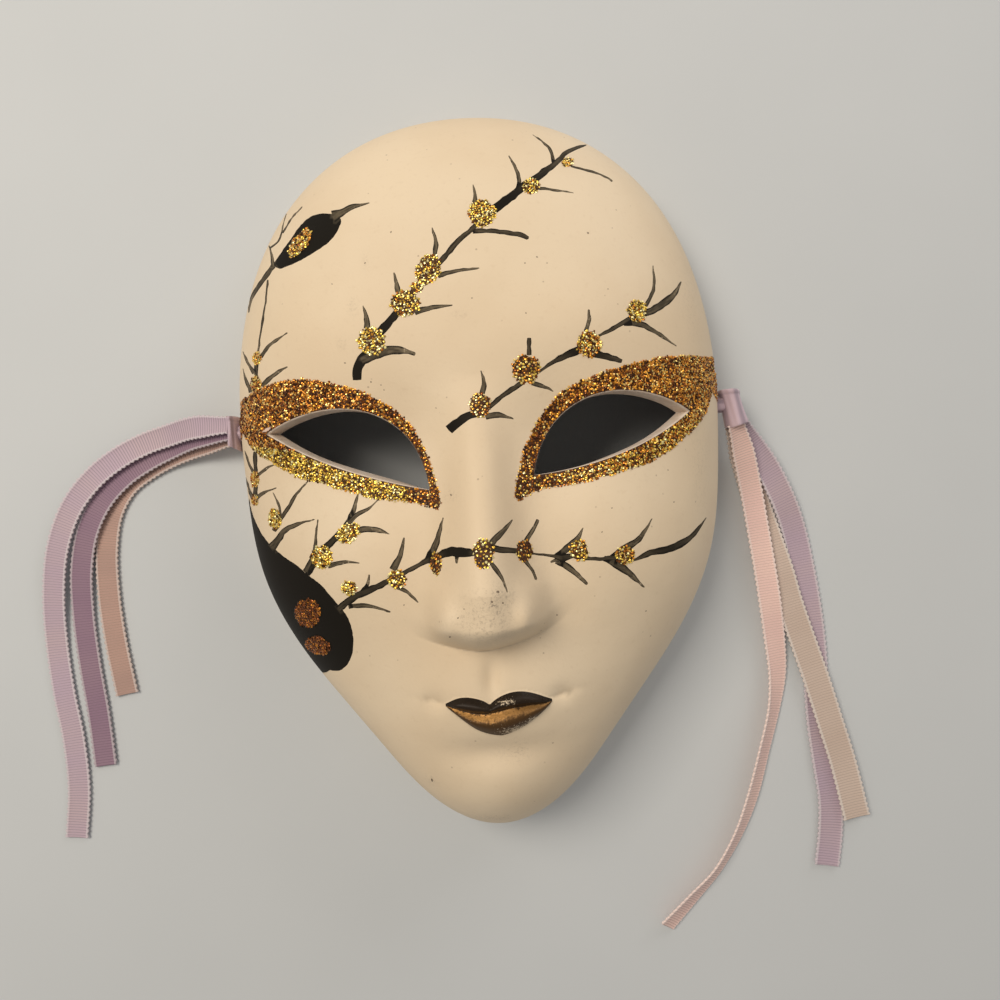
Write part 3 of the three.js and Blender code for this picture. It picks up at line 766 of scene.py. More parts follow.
# Where an outline goes over the side wall, as (angle in degrees, height in mm)
SIDE_ENDS = {
    "left_band": [(176.6, 16), (177, 13.6), (174.5, 12.8), (172.6, 13.4), (172.2, 16)],
    "right_band": [(6, 16), (5.4, 13.2), (8.5, 12.6), (11.5, 13), (12, 16)],
    "leaf": [(232.2, 11), (230.8, 7.5), (227, 5.4), (220, 4.9), (209, 5.6), (199, 8), (192.5, 12)],
}
BARE_SPOTS = [(267, 429.5, 5, 1.7, 30)]
BERRIES = {
    "yellow": [
        (372, 341, 15.5, 15.5, 0), (405, 303, 16, 15, 0), (428, 270, 18, 13, 60), (417, 287, 7, 6, 0),
        (482, 213, 15, 15.5, 0), (531, 186, 9, 8.5, 0), (568, 162, 6, 5, 0), (566, 164, 4, 3, 0),
        (322, 557, 12, 12.5, 0), (348, 533, 14, 10, 35), (349, 588, 8.5, 8, 0), (397, 579, 10, 10, 0),
        (483, 554, 11, 17, 0), (637, 311, 11, 12, 0), (275, 519, 7, 11, 10), (579, 550, 10, 12, 20),
    ],
    "brown": [
        (526, 369, 16, 15.5, 0), (589, 344, 13.5, 14.5, 0), (480, 405, 12, 14, 0),
        (436, 564, 6.5, 13, 0), (524, 551, 9, 12.5, 0), (625, 555, 10.5, 10, 0),
        (256, 384, 6, 9, 0), (257, 358, 4.5, 7, 0), (255, 479, 4.5, 9, 0), (255, 500, 4, 6, 0),
        (300, 243, 19, 8, 52),
    ],
    "dull": [(308, 613, 14, 15, 0), (318, 645.5, 14, 9.5, -20)],
}
SPECKS = [
    (498, 592, 2.2), (492, 602, 1.6), (503, 603, 1.4), (450, 637, 1.3), (557, 615, 1.2),
    (458, 618, 1.1), (464, 609, 1.0), (588, 233, 1.4), (537, 257, 1.2), (525, 263, 1.0),
    (608, 289, 0.9), (472, 298, 1.0), (391, 232, 1.2), (365, 263, 1.1), (332, 284, 0.9),
    (345, 363, 1.3), (371, 382, 1.1), (674, 502, 1.0), (602, 532, 1.1), (612, 508, 0.9),
    (646, 611, 1.0), (404, 605, 1.1), (381, 385, 1.0), (384, 390, 0.9), (432, 780, 1.8),
    (451, 495, 1.4), (526, 313, 1.0), (436, 408, 0.9), (547, 263, 0.8), (668, 470, 0.8),
]
# Soft grey soiling as (x, y, half width, half height, strength), and the pixels to a mm on the face
PIXELS_PER_MM = 4.6
SMUDGES = [
    (485, 622, 24, 20, 0.55), (496, 600, 10, 9, 0.8), (353, 307, 5, 9, 0.35), (342, 344, 4, 5, 0.4),
    (461, 314, 8, 4, 0.3), (515, 750, 13, 10, 0.45), (495, 818, 16, 6, 0.6), (432, 780, 7, 5, 0.5),
    (451, 495, 5, 5, 0.35), (366, 262, 4, 8, 0.25), (690, 300, 14, 40, 0.2), (700, 470, 12, 50, 0.2),
]

# Where the lip paint is chipped off, in mm as (x, y, half width, half height)
LIP_CHIPS = [(4.2, -52.6, 3.6, 1.7), (2.6, -46.6, 1.7, 0.7), (7.8, -50.8, 1.5, 1.0)]

# The shell's surface, in mm: a and b are places on a disc, 0 at the dome's crown, 1 at its rim


def rim_radius(angle):
    """The rim's radius in the plan, a smooth curve by its control radii from the chin to the crown."""
    turned = np.mod(angle + np.pi / 2, 2 * np.pi)
    place = np.minimum(turned, 2 * np.pi - turned) / RIM_STEP
    last = len(RIM_RADII) - 1
    i = np.minimum(np.floor(place).astype(int), last)
    s = place - i

    def at(k):
        k = np.abs(k)
        return RIM_RADII[np.where(k > last, 2 * last - k, k)]

    before, here = (1 - s) ** 3 * at(i - 1), (3 * s**3 - 6 * s**2 + 4) * at(i)
    after, beyond = (-3 * s**3 + 3 * s**2 + 3 * s + 1) * at(i + 1), s**3 * at(i + 2)
    return (before + here + after + beyond) / 6


def fullness(angle):
    """How boxy the dome's profile is: more so towards the chin."""
    return DOME_FULLNESS + CHIN_FULLNESS * np.maximum(0, -np.sin(angle)) ** 2


def mound(x, y, cx, cy, wide, tall):
    return np.exp(-(((x - cx) / wide) ** 2) - ((y - cy) / tall) ** 2)


def twin(x, y, cx, cy, wide, tall):
    return mound(x, y, cx, cy, wide, tall) + mound(x, y, -cx, cy, wide, tall)


def form(x, y, name):
    """What one of the soft forms adds to the face's height."""
    if name in PAIRED_FORMS:
        height, *place = PAIRED_FORMS[name]
        return height * twin(x, y, *place)
    height, *place = SINGLE_FORMS[name]
    return height * mound(x, y, *place)


def nose(x, y, sharp):
    """The nose's ridge and wings. Outside it rounds over to its foot, inside it falls away softly."""
    along = np.clip((NOSE_ROOT_Y - y) / (NOSE_ROOT_Y - NOSE_TIP_Y), 0, 1)
    half_width = NOSE_BRIDGE_HALF + NOSE_WIDENING * along**1.5
    ridge = NOSE_HEIGHT * along**1.25 * np.exp(-((np.abs(x) / half_width) ** 2.2))
    wings = form(x, y, "nose_wing")
    if not sharp:
        return (ridge + wings) * ease(-35, -25, y)
    aside = np.abs(x - NOSE_BASE["x"])
    beside_tip = NOSE_BASE["slope"] * (np.hypot(aside, NOSE_BASE["round"]) - NOSE_BASE["round"])
    foot = NOSE_BASE["y"] + beside_tip + (aside / NOSE_BASE["wing_width"]) ** 4
    rise = np.maximum(NOSE_BASE["least_rise"], NOSE_BASE["rise"] - NOSE_BASE["narrowing"] * aside)
    return (ridge + wings) * np.sin(np.pi / 2 * np.clip((y - foot) / rise, 0, 1))


def mouth_line(x):
    rise = np.where(x < MOUTH["dip"], MOUTH["left_rise"], MOUTH["right_rise"])
    return MOUTH["y"] + rise * (1 - np.exp(-(((x - MOUTH["dip"]) / MOUTH["reach"]) ** 2)))


def lip_edges(x):
    """How far the upper and lower lip reach from the mouth line, and how full the lip is."""
    side = np.where(x < MOUTH["bow"], MOUTH["left"], MOUTH["right"])
    from_bow = np.clip((x - MOUTH["bow"]) / (side - MOUTH["bow"]), 0, 1)
    lobe = MOUTH["lobe"] * np.sin(np.pi * from_bow**0.75)
    upper = (MOUTH["upper"] + lobe) * (1 - 0.7 * from_bow**5)
    left = x < MOUTH["low"]
    side = np.where(left, MOUTH["left"], MOUTH["right"])
    from_low = np.clip((x - MOUTH["low"]) / (side - MOUTH["low"]), 0, 1)
    lower = MOUTH["lower"] * (1 - from_low ** np.where(left, 1.2, 1.8))
    return upper, lower, np.sqrt(1 - from_low**2)


def lips(x, y):
    """How far the lips swell over the face."""
    upper, lower, corner = lip_edges(x)
    above = y - mouth_line(x)
    share_up = np.clip(above / np.maximum(upper, 1e-3), 0, 1)
    share_down = np.clip(-above / np.maximum(lower, 1e-3), 0, 1)
    swell_up = MOUTH["upper_swell"] * np.sin(np.pi * share_up) * np.minimum(1, upper / 2)
    swell_down = MOUTH["lower_swell"] * np.sin(np.pi * share_down**0.85) * corner
    return np.where(above > 0, swell_up, swell_down) * (x > MOUTH["left"]) * (x < MOUTH["right"])


def relief(x, y, sharp=True):
    """The features' height over the dome, for the outer face or, without the lips, the inner one."""
    height = nose(x, y, sharp) + form(x, y, "socket")
    height += form(x, y, "brow") + form(x, y, "cheek")
    height += form(x, y, "mouth") + form(x, y, "under_lip")
    height += form(x, y, "chin")
    if sharp:
        height += form(x, y, "philtrum")
        # A dimple beside each end of the mouth, and the crease that runs on from it
        height -= 0.7 * twin(x - 1.1, y, 12.4, -46.8, 2.4, 1.8)
        height -= 0.3 * mound(x, y - 0.15 * x, 13.6, -49.0, 3.2, 0.55)
        height -= 0.3 * mound(x, y + 0.18 * x, -11.6, -48.8, 3.0, 0.55)
        height += lips(x, y)
    return height


def face_point(a, b, sharp=True):
    """The face's points over places on the disc. Without sharp, the softer face that the inside has."""
    out = np.minimum(np.hypot(a, b), 1)
    angle = np.arctan2(b, a)
    power = 2 / fullness(angle)
    turn = out * np.pi / 2
    reach = rim_radius(angle) * np.sin(turn) ** power
    x = reach * np.cos(angle)
    y = FACE_CENTRE_Y + reach * np.sin(angle)
    dome = DOME_HEIGHT * np.maximum(np.cos(turn), 0) ** power
    z = dome + relief(x, y, sharp) * (1 - ease(*FADE, out))
    return np.stack([x, y, np.where(out >= 1, 0, z)], axis=-1)


def face_normal(a, b, sharp=True):
    step = SHARP_STEP if sharp else SOFT_STEP
    out = np.hypot(a, b)
    pull = np.minimum(1, (1 - 2 * step) / np.maximum(out, 1e-9))
    a, b = a * pull, b * pull
    da = face_point(a + step, b, sharp) - face_point(a - step, b, sharp)
    db = face_point(a, b + step, sharp) - face_point(a, b - step, sharp)
    normal = unit(np.cross(da, db))
    # The rim meets the floor at a right angle
    normal[..., 2] *= np.where(out >= 1, 0, 1)
    return unit(normal)


def inner_point(a, b):
    """The inside's points, one wall behind the softer face and not under the floor."""
    point = face_point(a, b, False) - WALL * face_normal(a, b, False)
    out = np.hypot(a, b)
    point[..., 2] = np.where(out >= 1 - 1e-9, 0, np.maximum(point[..., 2], 0))
    return point


def face_height(x, y):
    """The height of the face over a point of the floor, and its share of the way to the rim."""
    angle = np.arctan2(y - FACE_CENTRE_Y, x)
    full = fullness(angle)
    share = np.minimum(np.hypot(x, y - FACE_CENTRE_Y) / rim_radius(angle), 0.99999)
    out = np.arcsin(share ** (full / 2)) / (np.pi / 2)
    dome = DOME_HEIGHT * (1 - share**full) ** (1 / full)
    return dome + relief(x, y) * (1 - ease(*FADE, out)), out


# The sheet is a disc on which the shell is laid out nearly true to size, in mm

SHEET_RADIUS = 85.0
# The heights at which a ray from the camera is first looked for at the face
RAY_LEVELS = np.linspace(56, 2, 55)


def sheet_of(angle, turn):
    """The place on the sheet of a point of the dome given by its angle and its turn from the crown."""
    power = 2 / fullness(angle)
    radius = rim_radius(angle)
    way = radius * np.sin(turn) ** power + DOME_HEIGHT * (1 - np.maximum(np.cos(turn), 0) ** power)
    s = SHEET_RADIUS * way / (radius + DOME_HEIGHT)
    return np.stack([s * np.cos(angle), s * np.sin(angle)], axis=-1)


def disc_of(sheet):
    """The disc coordinates of places on the sheet, found by halving."""
    angle = np.arctan2(sheet[:, 1], sheet[:, 0])
    target = np.hypot(sheet[:, 0], sheet[:, 1])
    low, high = np.zeros(len(sheet)), np.full(len(sheet), np.pi / 2)
    for _ in range(44):
        middle = (low + high) / 2
        far = np.linalg.norm(sheet_of(angle, middle), axis=-1) > target
        high = np.where(far, middle, high)
        low = np.where(far, low, middle)
    out = (low + high) / np.pi
    out = np.where(target >= SHEET_RADIUS - 1e-6, 1.0, out)
    return out * np.cos(angle), out * np.sin(angle)


def sheet_from_plan(x, y):
    angle = np.arctan2(y - FACE_CENTRE_Y, x)
    _, out = face_height(x, y)
    return sheet_of(angle, out * np.pi / 2)


def sheet_from_side(angle_degrees, z):
    """The place on the sheet of a point of the side wall given by its angle and height."""
    angle = np.radians(np.asarray(angle_degrees, float))
    turn = np.arccos((np.asarray(z, float) / DOME_HEIGHT) ** (fullness(angle) / 2))
    return sheet_of(angle, turn)


def pixels_of(points):
    """The photograph's pixels at which the camera sees points given in mm."""
    dx, dy = points[..., 0] - CAMERA_AT[0], points[..., 1] - CAMERA_AT[1]
    c, s = math.cos(CAMERA_ROLL), math.sin(CAMERA_ROLL)
    size = FOCAL_PIXELS / (CAMERA_AT[2] - points[..., 2])
    middle = PICTURE_PIXELS / 2
    return np.stack([middle + size * (dx * c - dy * s), middle - size * (dx * s + dy * c)], axis=-1)


def plan_from_pixels(pixels):
    """Where the camera's rays through the photograph's pixels first meet the face, in mm."""
    pixels = np.asarray(pixels, float)
    middle = PICTURE_PIXELS / 2
    u, v = (pixels[:, 0] - middle) / FOCAL_PIXELS, (middle - pixels[:, 1]) / FOCAL_PIXELS
    c, s = math.cos(CAMERA_ROLL), math.sin(CAMERA_ROLL)
    ray = np.stack([u * c + v * s, v * c - u * s], axis=-1)

    def over(z):
        place = np.array(CAMERA_AT[:2]) + ray * (CAMERA_AT[2] - z)[:, None]
        height, _ = face_height(place[:, 0], place[:, 1])
        return z - height, place

    high, low = np.full(len(pixels), RAY_LEVELS[0]), np.full(len(pixels), np.nan)
    nearest, nearest_gap = high.copy(), np.full(len(pixels), np.inf)
    for level in RAY_LEVELS:
        gap, _ = over(np.full(len(pixels), level))
        searching = np.isnan(low)
        hit = searching & (gap <= 0)
        low[hit] = level
        high[searching & ~hit] = level
        closer = searching & (np.abs(gap) < nearest_gap)
        nearest[closer], nearest_gap[closer] = level, np.abs(gap[closer])
    # A ray that misses the face ends at the level where it comes nearest
    missed = np.isnan(low)
    low[missed] = high[missed] = nearest[missed]
    for _ in range(22):
        middle = (low + high) / 2
        gap, _ = over(middle)
        low = np.where(gap > 0, low, middle)
        high = np.where(gap > 0, middle, high)
    _, place = over((low + high) / 2)
    return place


def sheet_from_pixels(pixels):
    place = plan_from_pixels(pixels)
    return sheet_from_plan(place[:, 0], place[:, 1])


# Outlines of the painted shapes

# Steps along outlines, in pixels
STROKE_STEP = 2.2
BERRY_STEP = 1.6
# Distances between the sheet's points, in mm, and the oval patches of the plan that are finer
FACE_SPACING = 0.95
FINE_SPACING = 0.42
INNER_SPACING = 2.2
FINE_OVALS = [(MOUTH["low"], MOUTH["y"] - 0.5, 13, 8), (0.5, -33, 15, 8)]
RIM_POINTS = 480
EYE_SIDE_POINTS = 110
SIDE_HOLE_POINTS = 20
LIP_POINTS = 90


def drifting(count):
    """A column of numbers that wander smoothly within plus and minus 1."""
    knots = random.uniform(-1, 1, count // 2 + 3)
    return np.interp(np.arange(count) / 2, np.arange(len(knots)), knots)[:, None]


def way_and_side(path):
    """The direction of a line at each of its points, and the direction across it."""
    direction = unit(np.gradient(path[:, :2], axis=0))
    return direction, np.column_stack([-direction[:, 1], direction[:, 0]])


def stroke_shape(rows):
    """The ragged outline of a stroke, its centre line and its length at each row."""
    path, way = resample(catmull_rom(rows, 12, 2), STROKE_STEP, 2)
    direction, side = way_and_side(path)
    half = path[:, 2:] / 2
    wobble = 0.35 + 0.05 * half
    left = path[:, :2] + side * (half + drifting(len(path)) * wobble)
    right = path[:, :2] - side * (half + drifting(len(path)) * wobble)
    is_blunt = path[-1, 2] > 2
    tip = path[-1, :2] + direction[-1] * (random.uniform(0.2, 1.4) if is_blunt else 0.8)
    start = path[0, :2] - direction[0] * random.uniform(0.2, 1.0)
    return np.vstack([left, tip, right[::-1], start]), path, way


def blot_shape(x, y, wide, tall, turn, rough):
    """An uneven oval."""
    count = max(12, int(2 * math.pi * math.sqrt(wide * tall) / BERRY_STEP))
    angle = np.linspace(0, 2 * math.pi, count, endpoint=False)
    reach = 1 + random.uniform(-rough, rough, count)
    u, v = wide * np.cos(angle) * reach, tall * np.sin(angle) * reach
    c, s = math.cos(math.radians(turn)), math.sin(math.radians(turn))
    return np.column_stack([x + u * c + v * s, y - u * s + v * c])


def smooth_outline(name, step, ragged):
    """A curve through an outline's points, a little uneven."""
    path, _ = resample(catmull_rom(OUTLINES[name], 10, 2), step, 2)
    _, side = way_and_side(path)
    return path + side * random.uniform(-ragged, ragged, (len(path), 1))


def eye_outline(eye):
    """Points round an eye hole in the plan, each one's share of its side, and if that is the upper."""
    inner, outer = np.array(eye["inner"]), np.array(eye["outer"])
    upper = (outer, *eye["upper"], inner)
    lower = (inner, *reversed(eye["lower"]), outer)
    share = np.arange(EYE_SIDE_POINTS) / EYE_SIDE_POINTS
    t = share[:, None]
    points = []
    for start, first, second, end in (upper, lower):
        curve = (1 - t) ** 3 * start + 3 * t * (1 - t) ** 2 * np.array(first)
        points.append(curve + 3 * t**2 * (1 - t) * np.array(second) + t**3 * end)
    return np.vstack(points), np.tile(share, 2), np.repeat([True, False], EYE_SIDE_POINTS)


def side_hole_ring():
    """The points round a cord hole, as places along the face and heights."""
    around = np.linspace(0, 2 * math.pi, SIDE_HOLE_POINTS, endpoint=False)
    y = SIDE_HOLE["y"] + SIDE_HOLE["radius"] * np.cos(around)
    z = SIDE_HOLE["z"] + SIDE_HOLE["radius"] * np.sin(around)
    return y, z, np.full(len(around), SIDE_HOLE_ANGLE)


def side_hole_outline(side):
    """The cord hole's edge on the face, found step by step at the hole's own heights."""
    y, z, angle = side_hole_ring()
    for _ in range(12):
        turn = np.arccos((z / DOME_HEIGHT) ** (fullness(angle) / 2))
        reach = rim_radius(angle) * np.sin(turn) ** (2 / fullness(angle))
        angle = np.arcsin((y - FACE_CENTRE_Y) / reach)
    return sheet_of(angle if side > 0 else np.pi - angle, turn)


class Sheet:
    """Gathers the points, lines and painted regions of the sheet before it is cut to triangles."""

    def __init__(self):
        self.points = []
        self.edges = []
        self.count = 0
        self.regions = []

    def line(self, points):
        """Adds a closed line and gives back the numbers of its points."""
        start = self.count
        self.points.append(points)
        self.count += len(points)
        ids = np.arange(start, self.count)
        self.edges += list(zip(ids.tolist(), np.roll(ids, -1).tolist()))
        return ids

    def region(self, outline, kind, brush=None):
        self.line(outline)
        self.regions.append((outline, kind, brush))

    def cut(self, filling, gap, holes):
        """Triangles between all lines and the filling points: points, triangles, line points' ids."""
        lines = np.vstack(self.points)
        base = thinned(filling, lines, gap)
        flat, triangles, place = triangulate(np.vstack([lines, base]), self.edges)
        return flat, cut_outside(flat, triangles, holes), place


def paint_regions(sheet):
    """Adds every painted outline, in the order in which one covers another."""
    names = sorted(STROKES, key=lambda name: name.endswith("stem"))
    strokes = [stroke_shape(rows) for name in names for rows in STROKES[name]]
    jobs = []
    for name in ("leaf", "bud"):
        jobs.append((smooth_outline(name, 2.5, 0.25), "paint", None, SIDE_ENDS.get(name)))
    for outline, path, way in strokes:
        jobs.append((outline, "paint", (path, way), None))
    for name in ("left_band", "right_band"):
        jobs.append((smooth_outline(name, 2.4, 0.9), "glue", None, SIDE_ENDS[name]))
    for spot in BARE_SPOTS:
        jobs.append((blot_shape(*spot, 0.2), "bare", None, None))
    for x, y, wide, tall, turn in sum(BERRIES.values(), []):
        outline = blot_shape(x, y, 0.88 * wide, 0.88 * tall, turn, 0.1)
        jobs.append((outline, "glue", None, None))
    for x, y, size in SPECKS:
        outline = blot_shape(x, y, 0.8 * size, 0.6 * size, random.uniform(0, 180), 0.2)
        jobs.append((outline, "speck", None, None))
    flat = sheet_from_pixels(np.vstack([outline for outline, _, _, _ in jobs]))
    at = 0
    for outline, kind, brush, ends in jobs:
        part = flat[at : at + len(outline)]
        at += len(outline)
        if ends:
            side_way, _ = resample(sheet_from_side(*np.array(ends, float).T), 0.8, 2)
            part = np.vstack([part, side_way])
        sheet.region(part, kind, brush)


def lip_regions(sheet):
    """Adds the two lips, whose outlines follow the relief."""
    middle_x = (MOUTH["left"] + MOUTH["right"]) / 2
    half = (MOUTH["right"] - MOUTH["left"]) / 2
    x = middle_x + half * np.sin(np.linspace(-np.pi / 2, np.pi / 2, LIP_POINTS))
    upper, lower, _ = lip_edges(x)
    line = mouth_line(x)
    top = np.column_stack([x, line + upper])
    middle = np.column_stack([x, line])
    bottom = np.column_stack([x, line - lower])
    for first, second, kind in ((top, middle, "upper_lip"), (middle, bottom, "lower_lip")):
        ring = np.vstack([first, second[::-1]])
        apart = np.linalg.norm(ring - np.roll(ring, 1, axis=0), axis=1)
        ring = ring[apart > 0.02]
        sheet.region(sheet_from_plan(ring[:, 0], ring[:, 1]), kind)


def grid_points(spacing):
    """Rings of points over the sheet, about evenly spaced."""
    rings = int(SHEET_RADIUS / spacing)
    points = [np.zeros((1, 2))]
    for ring in range(1, rings):
        count = 6 * ring
        angle = (np.arange(count) + 0.5 * (ring % 2)) * 2 * math.pi / count
        s = SHEET_RADIUS * ring / rings
        points.append(s * np.column_stack([np.cos(angle), np.sin(angle)]))
    return np.vstack(points)


def fine_points(cx, cy, wide, tall):
    """Close rows of points in an oval of the plan."""
    x, y = np.meshgrid(
        np.arange(-wide, wide, FINE_SPACING), np.arange(-tall, tall, 0.87 * FINE_SPACING)
    )
    x[1::2] += FINE_SPACING / 2
    keep = (x / wide) ** 2 + (y / tall) ** 2 < 1
    return sheet_from_plan(cx + x[keep], cy + y[keep])


def thinned(points, lines, gap):
    """The points that stay clear of the lines' own points."""
    tree = kdtree.KDTree(len(lines))
    for i, (x, y) in enumerate(lines):
        tree.insert((x, y, 0), i)
    tree.balance()
    return np.array([p for p in points if tree.find((p[0], p[1], 0))[2] > gap])


def triangulate(points, edges):
    result = delaunay_2d_cdt([tuple(p) for p in points], edges, [], 0, 1e-5)
    vertices, _, faces, originals = result[:4]
    place = np.full(len(points), -1)
    for new, olds in enumerate(originals):
        for old in olds:
            place[old] = new
    return np.array([tuple(v) for v in vertices]), np.array([list(f) for f in faces]), place


def cut_outside(vertices, triangles, holes):
    """The triangles without those in the holes and those of no area, all wound the same way."""
    middle = vertices[triangles].mean(axis=1)
    keep = np.ones(len(triangles), bool)
    for hole in holes:
        keep &= ~inside(middle, hole)
    a, b, c = (vertices[triangles[:, i]] for i in range(3))
    area = (b[:, 0] - a[:, 0]) * (c[:, 1] - a[:, 1]) - (b[:, 1] - a[:, 1]) * (c[:, 0] - a[:, 0])
    triangles = np.where((area < 0)[:, None], triangles[:, ::-1], triangles)
    return triangles[keep & (np.abs(area) > 1e-9)]


# The shell


def inner_eye_outline(eye, points, shares, uppers):
    """The eye hole's edge on the inner face, with the slant of its wall."""
    upper_slant, lower_slant = eye["slant"]
    normal = face_normal(*disc_of(sheet_from_plan(*points.T)), False)
    target = points - WALL * normal[:, :2]
    swell = np.where(uppers, np.sin(np.pi * shares), np.sin(np.pi * np.sqrt(shares)) ** 3)
    target[:, 1] += np.where(uppers, -upper_slant, lower_slant) * swell
    return inner_sheet_of(target)


def inner_sheet_of(targets):
    """The places on the sheet whose inner face points lie under the targets in the plan."""
    guess = targets.copy()
    for _ in range(14):
        sheet = sheet_from_plan(*guess.T)
        guess = guess + targets - inner_point(*disc_of(sheet))[:, :2]
    return sheet


def inner_side_hole(side):
    """The cord hole's edge on the inner face, found step by step at the hole's own heights."""
    y, z, angle = side_hole_ring()
    turn = np.full(len(angle), 1.4)
    # Each step goes most of the way, for a face about 55 mm from the middle and 60 mm to a radian
    for _ in range(30):
        a, b = 2 * turn / np.pi * np.cos(angle), 2 * turn / np.pi * np.sin(angle)
        point = inner_point(a, b)
        angle += (y - point[:, 1]) / 55 * 0.9
        turn = np.clip(turn - (z - point[:, 2]) / 60 * 0.8, 0.9, 1.55)
    return sheet_of(angle if side > 0 else np.pi - angle, turn)


# The kinds of surface on the shell, in the order of its materials
KINDS = ["glaze", "paint", "glue", "bare", "upper_lip", "lower_lip", "speck", "wall", "inside"]
# Where the face and the inside lie on the baked chart
FACE_CHART = {"at": (0.39, 0.61), "size": 0.385}
INNER_CHART = {"at": (0.84, 0.16), "size": 0.15}
# The rings of points where a wall joins face and inside, by number: the rim, the two eye holes and
# the two cord holes. Each wall has a lane of the chart
RIM = 0
EYE_RINGS = (1, 2)
WALL_LANES = {1: (0.02, 0.05), 2: (0.07, 0.10), 3: (0.12, 0.14), 4: (0.16, 0.17), RIM: (0.185, 0.20)}


def build_shell():
    """The shell's painted face and its coarser inside, with the rings of points they meet at."""
    turn = np.linspace(0, 2 * math.pi, RIM_POINTS, endpoint=False)
    rim = SHEET_RADIUS * np.column_stack([np.cos(turn), np.sin(turn)])
    eyes = [(eye, *eye_outline(eye)) for eye in EYES.values()]
    outlines = [sheet_from_plan(*points.T) for _, points, _, _ in eyes]
    outlines += [side_hole_outline(side) for side in (1, -1)]
    sheet = Sheet()
    rings = [sheet.line(ring) for ring in (rim, *outlines)]
    paint_regions(sheet)
    lip_regions(sheet)
    filling = np.vstack([grid_points(FACE_SPACING), *(fine_points(*oval) for oval in FINE_OVALS)])
    flat, triangles, place = sheet.cut(filling, 0.2, outlines)
    middle = flat[triangles].mean(axis=1)
    kind = np.zeros(len(triangles), int)
    owner = np.full(len(triangles), -1)
    for number, (outline, name, _) in enumerate(sheet.regions):
        held = inside(middle, outline)
        kind[held] = KINDS.index(name)
        owner[held] = number
    a, b = disc_of(flat)

    inner_outlines = [inner_eye_outline(*eye) for eye in eyes]
    inner_outlines += [inner_side_hole(side) for side in (1, -1)]
    inner_sheet = Sheet()
    inner_rings = [inner_sheet.line(ring) for ring in (rim, *inner_outlines)]
    inner_filling = grid_points(INNER_SPACING)
    inner_flat, inner_triangles, inner_place = inner_sheet.cut(inner_filling, 0.5, inner_outlines)
    inner_a, inner_b = disc_of(inner_flat)
    return {
        "flat": flat, "face": face_point(a, b), "normals": face_normal(a, b),
        "triangles": triangles, "kind": kind, "owner": owner, "regions": sheet.regions,
        "rings": [place[ring] for ring in rings],
        "inner_flat": inner_flat, "inner": inner_point(inner_a, inner_b),
        "inner_normals": -face_normal(inner_a, inner_b, False),
        "inner_triangles": inner_triangles[:, ::-1],
        "inner_rings": [inner_place[ring] for ring in inner_rings],
    }


def wall_between(outer, outer_normals, inner):
    """Rows of points from an opening's outer edge to its inner one, rounded over at the face."""
    along = unit(np.roll(outer, -1, axis=0) - np.roll(outer, 1, axis=0))
    into = unit(np.cross(outer_normals, along))
    middle = outer.mean(axis=0)
    into *= np.sign(np.sum(into * (middle - outer), axis=1).mean())
    down = unit(inner - outer)
    wall_normal = unit(into - down * np.sum(into * down, axis=1, keepdims=True))
    # Two steps of the rounding, in mm, then the straight wall
    rows = [outer + into * 0.05 * r + down * 0.1 * r * r for r in (1, 2)]
    edge = outer + into * 0.16 + down * 0.55
    rows += [edge + (inner - edge) * t for t in (0, 0.3, 0.65)]
    blend = [0.35, 0.7, 1, 1, 1]
    normals = [unit(outer_normals * (1 - k) + wall_normal * k) for k in blend]
    return rows, normals, wall_normal


def brush_maps(mesh):
    """For each vertex of a stroke: how far along and across it lies, how thin the paint is."""
    count = len(mesh["face"])
    brush, wash = np.zeros((count, 2)), np.zeros((count, 2))
    pixels = pixels_of(mesh["face"])
    for number, (_, kind, stroke) in enumerate(mesh["regions"]):
        own = np.unique(mesh["triangles"][mesh["owner"] == number])
        if not len(own):
            continue
        wash[own, 1] = random.uniform(0, 1)
        if kind in LIP_LOOKS:
            x, y = mesh["face"][own, 0], mesh["face"][own, 1]
            upper, lower, _ = lip_edges(x)
            rise = y - mouth_line(x)
            share = rise / np.maximum(np.where(rise > 0, upper, lower), 0.1)
            brush[own] = np.column_stack([x, np.clip(share, -1, 1)])
            chipped = [mound(x, y, *chip) for chip in LIP_CHIPS]
            wash[own, 0] = np.clip(np.sum(chipped, axis=0), 0, 1)
        if stroke is None:
            continue
        path, way = stroke
        apart = pixels[own][:, None, :] - path[None, :, :2]
        nearest = np.argmin((apart**2).sum(axis=2), axis=1)
        direction = way_and_side(path)[0][nearest]
        offset = apart[np.arange(len(own)), nearest]
        across = offset[:, 1] * direction[:, 0] - offset[:, 0] * direction[:, 1]
        width = path[nearest, 2]
        left_over = way[-1] - way[nearest]
        # A thorn is a short stroke that ends thin, and its paint is thinnest at the tip
        is_thorn = path[-1, 2] < 4 and way[-1] < 90
        thin = 0.42 + 0.33 * ease(40, 5, left_over) if is_thorn else 0.3 * ease(9, 5, width)
        brush[own] = np.column_stack([way[nearest] / 5, 2 * across / np.maximum(width, 1)])
        wash[own, 0] = thin
    return brush, wash


def soil_of(mesh):
    """How much grey soiling lies on each vertex of the face."""
    centres = plan_from_pixels([smudge[:2] for smudge in SMUDGES])
    soil = np.zeros(len(mesh["face"]))
    x, y, _ = mesh["face"].T
    for (cx, cy), (_, _, wide, tall, strength) in zip(centres, SMUDGES):
        soil += strength * mound(x, y, cx, cy, wide / PIXELS_PER_MM, tall / PIXELS_PER_MM)
    return np.clip(soil, 0, 1)


